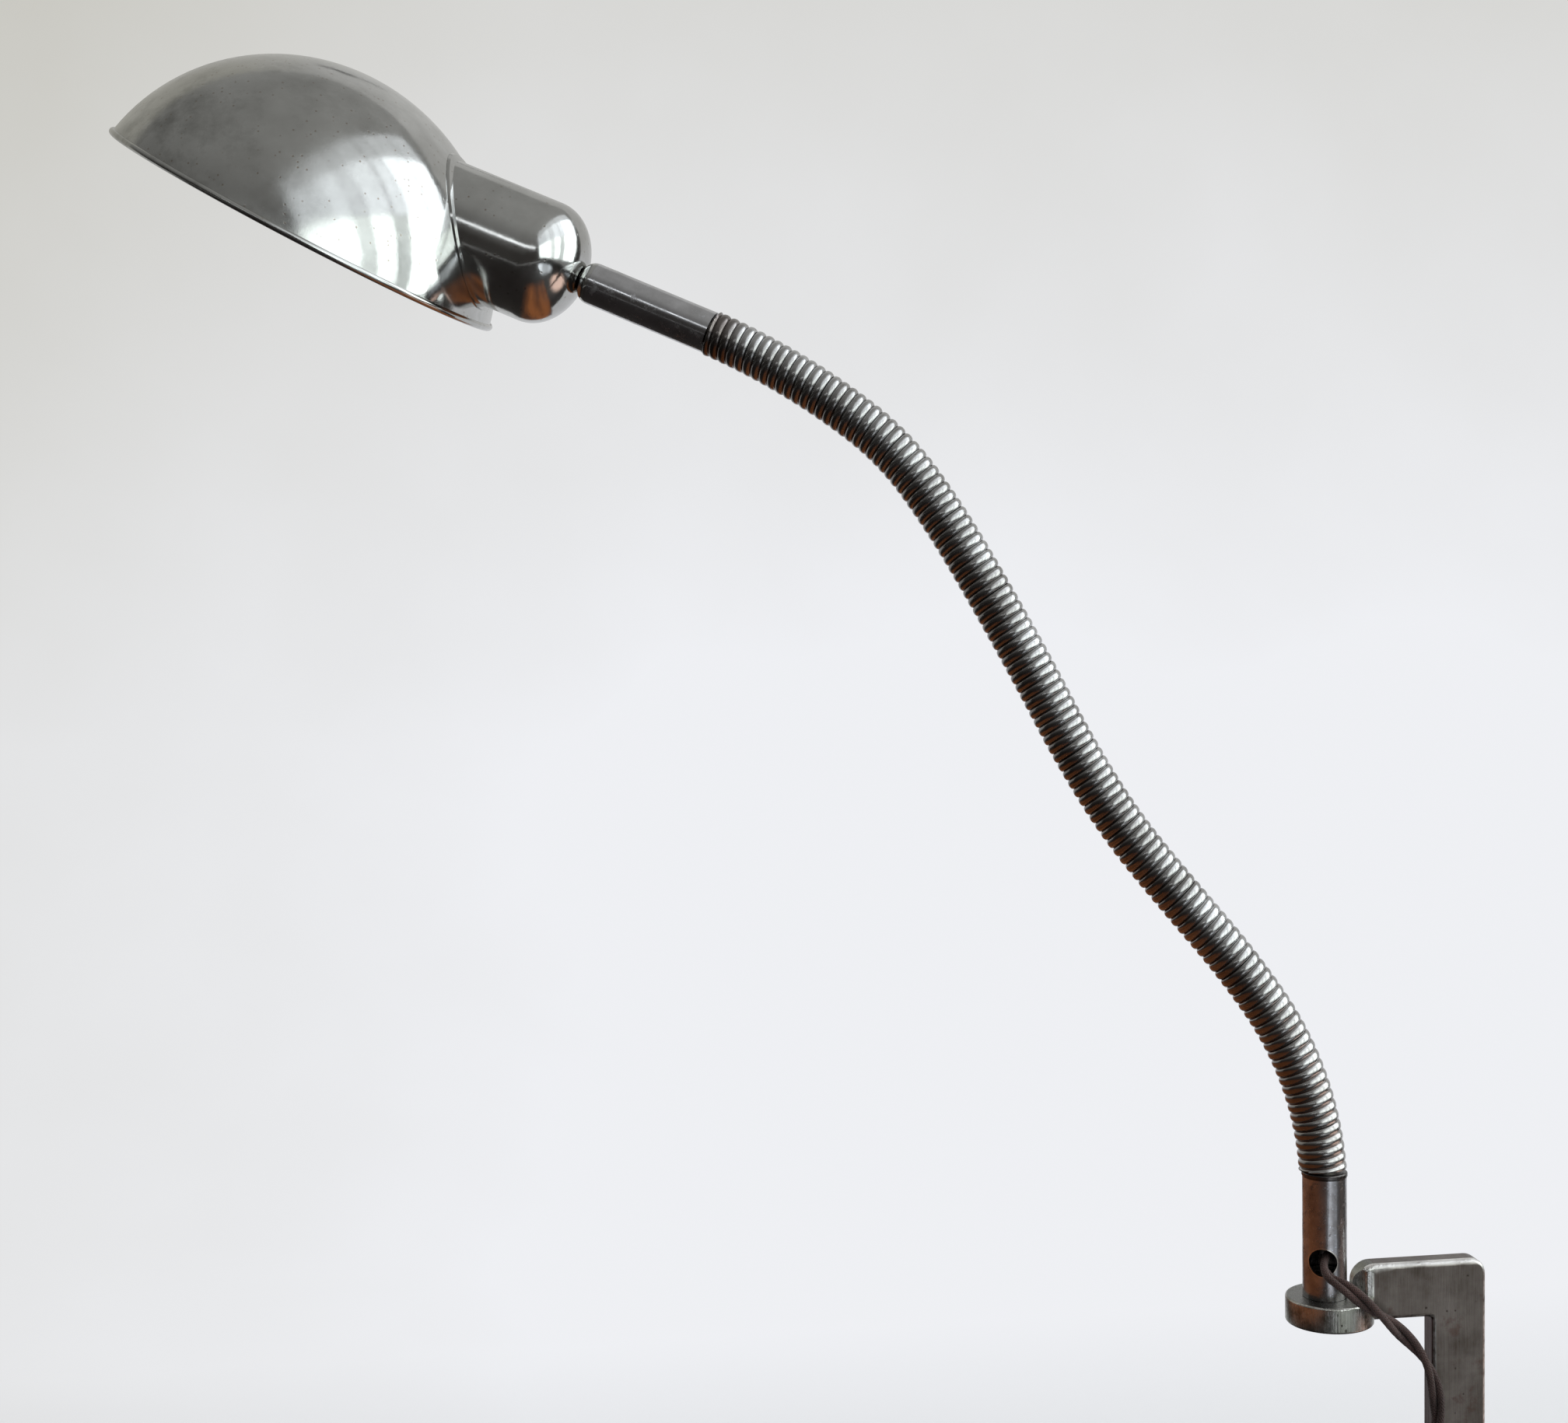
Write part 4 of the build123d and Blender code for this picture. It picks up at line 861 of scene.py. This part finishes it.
# Painted shade: a dark band under the bead at the stem's top
collar_shade = times(sums("GREATER_THAN", tube_z, 0.0542), sums("LESS_THAN", tube_z, 0.0600))
tube_colour = mixed(times(collar_shade, 0.8), tube_colour, (0.035, 0.028, 0.024))
tube_dull = remap(tube_age["Cloud"], 0.0, 1.0, 0.30, 0.19)
tube_dull = sums("MULTIPLY_ADD", tube_rust, 0.2, tube_dull)
tube_dull = sums("MULTIPLY_ADD", tube_upper, -0.10, tube_dull)
tube_relief = times(tube_age["Scratch"], sums("MULTIPLY_ADD", tube_upper, -0.85, 1.0))
surface(tube_skin, tube_colour, tube_dull, raised(tube_relief, 0.00003, 0.4))
dress(tube_nickel, "stem_tube", "upper_tube")
dress(turned_steel, "stem_bush", "pivot_screw", "lower_ferrule", "upper_ferrule", "tube_plug", "hollow_stud")
dress(turned_steel, "stud_washer", "stud_nut")

# Gooseneck.
# One steel wire of half-round section is wound tight in 108 turns over a softer inner winding, so
# that the neck stays where it is bent. It is dark with age, with painted shade on its underside
# and in its grooves, where soil sits too.
stem_x = -0.0018
arm_turn = radians(18.0)
arm_side = Vector((sin(arm_turn), cos(arm_turn), 0))
# How steeply the neck climbs at its foot, at each joint and at its top, in degrees
neck_headings = [86.0, 71.4, 56.1, 49.9, 51.1, 58.8, 63.2, 61.6, 60.2, 55.0, 38.5, 31.6, 25.2]
neck_link = 0.03286
neck_links = 12
neck_turns_per_link = 9
neck_foot = (0.0006, 0.0570)
neck_link_steps = 24


def arm_point(u, z):
    """A point in the arm's own upright plane: u outwards from the stem, z up."""
    return Vector((stem_x - u * cos(arm_turn), u * sin(arm_turn), z))


neck_points = [arm_point(*neck_foot)]
foot_u, foot_z = neck_foot
for heading, next_heading in zip(neck_headings, neck_headings[1:]):
    bend = neck_link / radians(next_heading - heading)
    for step in range(1, neck_link_steps + 1):
        here = radians(heading + (next_heading - heading) * step / neck_link_steps)
        u = foot_u + bend * (sin(here) - sin(radians(heading)))
        z = foot_z + bend * (cos(radians(heading)) - cos(here))
        neck_points.append(arm_point(u, z))
    foot_u, foot_z = u, z
neck_line = straight_run("neck_line", neck_points)


neck_wire, wire_tree, wire_skin = new_finish("neck_wire", Metallic=1.0)
wire_age = use_effect(
    wire_tree, age, Cloud_scale=60.0, Speck_scale=900.0, Speck_share=0.05, Grain=(500.0, 500.0, 500.0)
)
wire_marks = {}
for mark in ("groove", "along"):
    wire_mark = wire_tree.nodes.new("ShaderNodeAttribute")
    wire_mark.attribute_name = mark
    wire_marks[mark] = wire_mark.outputs["Fac"]
wire_colour = mixed(wire_age["Cloud"], (0.300, 0.290, 0.280), (0.560, 0.560, 0.560))
wire_low = remap(wire_marks["along"], 0.22, 0.04)
wire_colour = mixed(times(wire_low, 0.5), wire_colour, (0.42, 0.40, 0.38))
wire_top = remap(wire_marks["along"], 0.965, 0.985)
wire_colour = mixed(times(wire_top, 0.7), wire_colour, (0.09, 0.06, 0.048))
# The side turned down and to the left is painted dark, as painted shade
wire_lean = vector_sums("DOT_PRODUCT", coordinates(wire_tree)["Normal"], (-0.62, -0.30, -0.72))
wire_painted_shade = remap(wire_lean, -0.05, 0.60, 0.0, 0.62)
wire_colour = mixed(wire_painted_shade, wire_colour, (0.095, 0.085, 0.078))
# Soil sits in the grooves, which are also painted dark as shade: near-black up the neck, red-brown near its
# foot
groove_soil_and_shade = remap(wire_marks["groove"], 0.5, 0.95)
groove_soil_and_shade_colour = mixed(wire_low, (0.030, 0.021, 0.016), (0.110, 0.035, 0.020))
wire_colour = mixed(groove_soil_and_shade, wire_colour, groove_soil_and_shade_colour)
wire_colour = mixed(times(wire_age["Speck"], 0.5), wire_colour, (0.10, 0.07, 0.05))
wire_dull = remap(wire_age["Scratch"], 0.0, 1.0, 0.23, 0.25)
wire_dull = sums("MULTIPLY_ADD", groove_soil_and_shade, 0.3, wire_dull)
surface(wire_skin, wire_colour, wire_dull, raised(wire_age["Scratch"], 0.00002, 0.04))

neck_bodies = ["stem"] + [f"neck_{number:02d}" for number in range(2, neck_links)] + ["upper"]
neck_end_gap = 0.0003
# A piece runs from this many turns past one joint to as many past the next, where nothing bends
neck_turns_past = 4
neck_common = dict(
    Start=neck_end_gap,
    End=neck_link * neck_links - neck_end_gap,
    Side=tuple(arm_side),
    Pitch=neck_link / neck_turns_per_link,
    Crest=0.0087,
    Root=0.0075,
    Wall=0.0054,
    Rows=8,
    Around=48,
    Finish=neck_wire,
)
for number, body in enumerate(neck_bodies):
    last_turn = neck_turns_per_link * number + neck_turns_past
    first_turn = last_turn - neck_turns_per_link
    if number == 0:
        piece = wound("neck_foot_turns", neck_line, First_turn=-1.0, Turns=neck_turns_past + 1, **neck_common)
        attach(piece, body)
    else:
        name = f"neck_turns_{number:02d}"
        piece = wound(name, neck_line, First_turn=float(first_turn), Turns=neck_turns_per_link, **neck_common)
        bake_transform(piece)
    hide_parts(f"neck_link_{number + 1:02d}")
top_turns = neck_turns_per_link - neck_turns_past
piece = wound("neck_top_turns", neck_line, First_turn=float(last_turn), Turns=top_turns, **neck_common)
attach(piece, "upper")
bpy.data.objects.remove(neck_line)

# Head: nipple, housing and shade.
# The housing is drawn brass with a rounded end, and the shade a spun brass dome with a rolled
# bead. Both were nickel-plated and polished, and now have a grey haze, fine pits and scratches.
bright_nickel, nickel_tree, nickel_skin = new_finish("bright_nickel", Metallic=1.0)
nickel_age = use_effect(
    nickel_tree, age, Cloud_scale=26.0, Speck_scale=650.0, Speck_share=0.09, Grain=(260.0, 260.0, 260.0)
)
nickel_place = coordinates(nickel_tree)["Object"]
nickel_x = parts(nickel_place)["X"]
nickel_colour = mixed(nickel_age["Cloud"], (0.43, 0.43, 0.415), (0.65, 0.655, 0.64))
# The haze is thickest on the side of the dome that is furthest from the lampholder
nickel_fog = remap(grain(nickel_place, 14.0, 5.0, 0.6), 0.40, 0.66, 0.0, 0.5)
nickel_fog = sums("MULTIPLY_ADD", remap(nickel_x, -0.340, -0.400), 0.5, nickel_fog)
nickel_stain = remap(grain(nickel_place, 34.0, 6.0, 0.68), 0.50, 0.66)
nickel_stain = times(nickel_stain, remap(nickel_x, -0.350, -0.410, 0.25, 1.0))
nickel_colour = mixed(times(nickel_fog, 0.7), nickel_colour, (0.32, 0.32, 0.30))
nickel_colour = mixed(times(nickel_stain, 0.7), nickel_colour, (0.20, 0.20, 0.185))
nickel_colour = mixed(times(nickel_age["Speck"], 0.55), nickel_colour, (0.20, 0.14, 0.085))
# The inside of the dome was only brushed, to a satin face that spreads the light
dome_middle = (-0.37571, 0.12149, 0.40049)
dome_way = vector_sums("SUBTRACT", nickel_place, dome_middle)
dome_facing = vector_sums("DOT_PRODUCT", coordinates(nickel_tree)["Normal"], dome_way)
dome_inside = sums("LESS_THAN", vector_sums("LENGTH", dome_way), 0.08060)
dome_inside = times(dome_inside, sums("LESS_THAN", dome_facing, -0.02))
satin_colour = mixed(nickel_age["Cloud"], (0.56, 0.55, 0.53), (0.72, 0.71, 0.69))
nickel_colour = mixed(dome_inside, nickel_colour, satin_colour)
nickel_dull = remap(nickel_fog, 0.0, 1.0, 0.055, 0.21)
nickel_dull = sums("MULTIPLY_ADD", dome_inside, 0.30, nickel_dull)
nickel_dull = sums("MULTIPLY_ADD", nickel_age["Cloud"], 0.04, nickel_dull)
nickel_dull = sums("MULTIPLY_ADD", nickel_age["Scratch"], 0.05, nickel_dull)
nickel_relief = sums("MULTIPLY_ADD", nickel_age["Speck"], -1.5, nickel_age["Scratch"])
surface(nickel_skin, nickel_colour, nickel_dull, raised(nickel_relief, 0.00002, 0.5))
dress(bright_nickel, "housing", "shade", "domed_nipple")

# Lampholder and bulb.
# A brass cap and skirt screw together round a glazed porcelain core. The bulb has a brass screw
# cap and a white-frosted envelope.
brass, brass_tree, brass_skin = new_finish("brass", Metallic=1.0)
brass_age = use_effect(
    brass_tree, age, Cloud_scale=120.0, Speck_scale=900.0, Speck_share=0.2, Grain=(900.0, 900.0, 200.0)
)
brass_colour = mixed(brass_age["Cloud"], (0.42, 0.27, 0.10), (0.72, 0.52, 0.24))
brass_colour = mixed(times(brass_age["Speck"], 0.6), brass_colour, (0.12, 0.07, 0.03))
brass_dull = remap(brass_age["Scratch"], 0.0, 1.0, 0.22, 0.40)
surface(brass_skin, brass_colour, brass_dull, raised(brass_age["Scratch"], 0.00003, 0.4))
dress(brass, "holder_cap", "holder_skirt", "contact_sleeve", "centre_contact", "terminal_screws", "bulb_cap")
dress(brass, "switch_contacts", "plug_pins")

porcelain, porcelain_tree, porcelain_skin = new_finish("porcelain")
porcelain_cloud = grain(coordinates(porcelain_tree)["Object"], 180.0, 4.0)
porcelain_colour = mixed(porcelain_cloud, (0.72, 0.70, 0.65), (0.84, 0.83, 0.79))
porcelain_dull = remap(porcelain_cloud, 0.3, 0.7, 0.12, 0.25)
surface(porcelain_skin, porcelain_colour, porcelain_dull, raised(porcelain_cloud, 0.0002, 0.3))
dress(porcelain, "porcelain_core")

bulb_opal, opal_tree, opal_skin = new_finish("bulb_opal", Transmission_Weight=0.35, IOR=1.5)
opal_cloud = grain(coordinates(opal_tree)["Object"], 60.0, 3.0)
opal_colour = mixed(opal_cloud, (0.80, 0.79, 0.76), (0.88, 0.87, 0.84))
surface(opal_skin, opal_colour, remap(opal_cloud, 0.3, 0.7, 0.18, 0.28))
dress(bulb_opal, "bulb_glass")
dress(turned_steel, "bulb_filament")

# Inline switch and plug.
# Two moulded shells of dark brown resin close round the rocker and its contacts with two screws,
# and the plug is a moulded cap on a base with two brass pins.
dark_resin, resin_tree, resin_skin = new_finish("dark_resin", Coat_Weight=0.15)
resin_place = coordinates(resin_tree)["Object"]
resin_flow = grain(resin_place, 70.0, 6.0, 0.6)
resin_dust = grain(resin_place, 1400.0, 3.0)
resin_colour = mixed(remap(resin_flow, 0.42, 0.62), (0.020, 0.010, 0.007), (0.060, 0.026, 0.014))
resin_colour = mixed(remap(resin_dust, 0.66, 0.8, 0.0, 0.3), resin_colour, (0.12, 0.09, 0.07))
resin_dull = remap(resin_dust, 0.3, 0.7, 0.20, 0.34)
surface(resin_skin, resin_colour, resin_dull, raised(resin_flow, 0.0003, 0.25))
dress(dark_resin, "switch_back", "switch_front", "switch_rocker", "plug_cap", "plug_base")
dress(turned_steel, "switch_screws", "plug_screws")

# Studio: a pale floor that sweeps up into the backdrop.
# The sweep is far behind and below the lamp. It glows with a soft grey gradient for the camera and
# for reflections, with painted shade darkening it towards the top and the left, and takes the lamp's
# shadow as any matt floor does.
floor_z = -0.4
sweep_front = -3.0
sweep_back = 0.9
sweep_radius = 0.9
sweep_top = 3.2
sweep_sides = (-4.0, 3.4)
sweep_steps = 16
profile = [(sweep_front, floor_z), (sweep_back, floor_z)]
for step in range(1, sweep_steps + 1):
    turn = pi / 2 * step / sweep_steps
    rise = sweep_radius * (1 - cos(turn))
    profile.append((sweep_back + sweep_radius * sin(turn), floor_z + rise))
profile.append((sweep_back + sweep_radius, sweep_top))
sweep = bmesh.new()
rows = [[sweep.verts.new((x, y, z)) for x in sweep_sides] for y, z in profile]
for row, next_row in zip(rows, rows[1:]):
    face = sweep.faces.new((row[0], row[1], next_row[1], next_row[0]))
    face.smooth = True
paper, paper_tree, paper_skin = new_finish("paper")
paper_place = coordinates(paper_tree)["Object"]
paper_mottle = grain(paper_place, 3.0, 5.0)
surface(paper_skin, mixed(paper_mottle, (0.78, 0.78, 0.79), (0.84, 0.84, 0.84)), 0.9)
paper_parts = parts(paper_place)
# Painted shade: the glow is darker towards the top and towards the left
glow_height = times(remap(paper_parts["Z"], 0.95, 0.1), 0.62)
glow_side = remap(paper_parts["X"], -1.0, -0.1)
glow_share = sums("MULTIPLY_ADD", glow_side, 0.45, glow_height)
glow_share = sums("MULTIPLY_ADD", sums("SUBTRACT", paper_mottle, 0.5), 0.25, glow_share)
glow = paper_tree.nodes.new("ShaderNodeEmission")
feed(glow.inputs["Color"], mixed(glow_share, (0.56, 0.55, 0.50), (0.86, 0.87, 0.90)))
paper_ray = paper_tree.nodes.new("ShaderNodeLightPath").outputs
# Polished metal shows the backdrop a little darker than it is
feed(glow.inputs["Strength"], remap(paper_ray["Is Glossy Ray"], 0.0, 1.0, 1.0, 0.82))
seen = sums("MAXIMUM", paper_ray["Is Camera Ray"], paper_ray["Is Glossy Ray"])
seen = sums("MAXIMUM", seen, paper_ray["Is Transmission Ray"])
# Near the lamp the floor stays a lit surface, so that it keeps the shadow
seen = times(seen, remap(paper_parts["Y"], 0.5, 1.1))
paper_mix = paper_tree.nodes.new("ShaderNodeMixShader")
for socket, value in zip(paper_mix.inputs, (seen, paper_skin.outputs[0], glow.outputs[0])):
    feed(socket, value)
feed(paper_tree.nodes["Material Output"].inputs[0], paper_mix.outputs[0])
new_piece("sweep", mesh_of("sweep", sweep, paper))


def softbox(name, place, aim, width, height, strength):
    """A large soft light that looks the same from any distance: strength is its brightness."""
    lamp = bpy.data.lights.new(name, "AREA")
    lamp.shape = "RECTANGLE"
    lamp.size = width
    lamp.size_y = height
    lamp.energy = strength * pi * width * height
    holder = new_piece(name, lamp)
    holder.location = place
    holder.rotation_euler = (Vector(aim) - Vector(place)).to_track_quat("-Z", "Y").to_euler()
    return holder


# Soft lights on the right in seven columns of three panes, which the dome shows as one window.
# A column is (sideways, width, brightness of each row), and a row is (upward, height)
window_middle = Vector((0.97, -0.51, 0.98))
window_facing = Vector((-0.84, 0.392, -0.375))
window_along = Vector((0.423, 0.906, 0.0))
window_upward = window_along.cross(window_facing)
window_columns = [
    (-1.50, 1.00, (2.3, 0.9, 0.45)),
    (-0.82, 0.34, (2.6, 1.2, 0.55)),
    (-0.52, 0.22, (1.4, 1.0, 0.50)),
    (-0.20, 0.38, (2.6, 1.5, 0.60)),
    (0.12, 0.20, (1.1, 1.6, 0.65)),
    (0.48, 0.48, (3.2, 2.2, 0.70)),
    (0.96, 0.44, (3.4, 3.0, 0.75)),
]
window_rows = [(-0.50, 1.00), (0.40, 0.79), (1.02, 0.44)]
for column, (sideways, width, brightness) in enumerate(window_columns):
    for row, (upward, height) in enumerate(window_rows):
        place = window_middle + window_along * sideways + window_upward * upward
        name = f"pane_{column + 1}_{row + 1}"
        pane = softbox(name, place, place + window_facing, width, height, brightness[row])
        pane.data.color = (0.91, 0.99, 0.985) if row == 0 else (0.88, 0.94, 1.0)
# A narrow light behind the camera draws the bright line along the housing
strip = softbox("strip", (-1.15, -2.75, 1.32), (-0.28, 0.07, 0.40), 2.1, 0.20, 2.2)
strip.data.color = (0.93, 0.97, 1.0)
strip.rotation_euler.rotate_axis("Z", radians(-17.0))
ceiling = softbox("ceiling", (-0.5, -0.2, 2.2), (-0.2, 0.0, 0.0), 2.2, 1.8, 0.8)
ceiling.visible_glossy = False

# Dark cards that only reflections meet: a brown one level with the jaw, and a wide one just above
# the floor
card_paper, card_tree, card_skin = new_finish("card_paper")
card_place = coordinates(card_tree)["Object"]
card_parts = parts(card_place)
card_x = card_parts["X"]
card_y = card_parts["Y"]
card_is_upper = sums("GREATER_THAN", card_parts["Z"], -0.1)
card_is_floor = sums("SUBTRACT", 1.0, card_is_upper)
card_near = times(remap(card_y, -0.24, -0.10), remap(card_x, -0.41, -0.29))
card_near = times(times(card_near, remap(card_x, -0.02, -0.045)), card_is_upper)
card_streak = grain(vector_sums("MULTIPLY", card_place, (9.0, 1.2, 1.0)), 1.0, 4.0)
card_brown = mixed(remap(card_streak, 0.4, 0.6), (0.14, 0.042, 0.012), (0.42, 0.130, 0.032))
surface(card_skin, mixed(card_near, (0.016, 0.011, 0.010), card_brown), 0.5)
# The wide card glows in bands in front of the clamp, and in a pink patch to the right of it
day_middle = (0.54, -1.42, floor_z)
pink_middle = (0.80, -0.04, floor_z)
day_turn = sums("SUBTRACT", sums("ARCTAN2", card_x, times(card_y, -1.0)), 0.10)
day_bands = remap(sums("COSINE", times(day_turn, 7.7)), -0.6, 1.0, 0.7, 1.9)
day_away = vector_sums("LENGTH", vector_sums("SUBTRACT", card_place, day_middle))
day_light = times(remap(day_away, 0.78, 0.50), day_bands)
pink_away = vector_sums("LENGTH", vector_sums("SUBTRACT", card_place, pink_middle))
pink_light = times(remap(pink_away, 0.44, 0.30), 1.3)
room_card_glow_colour = mixed(sums("GREATER_THAN", pink_light, 0.01), (0.86, 0.93, 1.0), (0.95, 0.66, 0.55))
feed(card_skin.inputs["Emission Color"], room_card_glow_colour)
feed(card_skin.inputs["Emission Strength"], times(sums("ADD", day_light, pink_light), card_is_floor))


def reflection_card(name, rows, finish):
    """Faces between rows of two corners each, which only reflections meet."""
    card = bmesh.new()
    rows = [[card.verts.new(corner) for corner in row] for row in rows]
    for row, next_row in zip(rows, rows[1:]):
        card.faces.new((row[0], next_row[0], next_row[1], row[1]))
    piece = new_piece(name, mesh_of(name, card, finish))
    piece.visible_camera = False
    piece.visible_diffuse = False
    piece.visible_shadow = False
    piece.visible_transmission = False


for name, sides, front, back, level in (
    ("table_card", (-1.5, -0.02), -1.1, 0.75, -0.002),
    ("room_card", (-3.0, 2.2), -2.6, 0.7, floor_z + 0.004),
):
    card_rows = [[(side, front, level), (side, back, level)] for side in sides]
    reflection_card(name, card_rows, card_paper)

# A dark rod high on the far side, which the top of the dome shows as a short streak
rod_paint = new_finish("rod_paint", Base_Color=(0.02, 0.022, 0.02, 1.0))[0]
# The rod's middle line, with half its height at each place
rod_stations = [
    ((-0.303, 1.306, 1.506), 0.034),
    ((-0.142, 1.300, 1.500), 0.056),
    ((-0.041, 1.399, 1.337), 0.020),
]
rod_rows = [[(x, y, z - half), (x, y, z + half)] for (x, y, z), half in rod_stations]
reflection_card("rod", rod_rows, rod_paint)

world = bpy.data.worlds.new("studio")
world.use_nodes = True
scene.world = world
air_tree = world.node_tree
air = air_tree.nodes["Background"]
air_way = parts(coordinates(air_tree)["Generated"])
air_colour = mixed(remap(air_way["Z"], 0.08, 0.80), (0.050, 0.045, 0.042), (0.42, 0.42, 0.41))
# It is darker towards the left, as the dome shows
air_colour = mixed(remap(air_way["X"], -0.85, 0.25, 0.35, 0.0), air_colour, (0.05, 0.05, 0.048))
# The camera sees the pale backdrop past the sweep's edges too
air_ray = air_tree.nodes.new("ShaderNodeLightPath").outputs
feed(air.inputs["Color"], mixed(air_ray["Is Camera Ray"], air_colour, (0.80, 0.81, 0.83)))
air.inputs["Strength"].default_value = 0.9
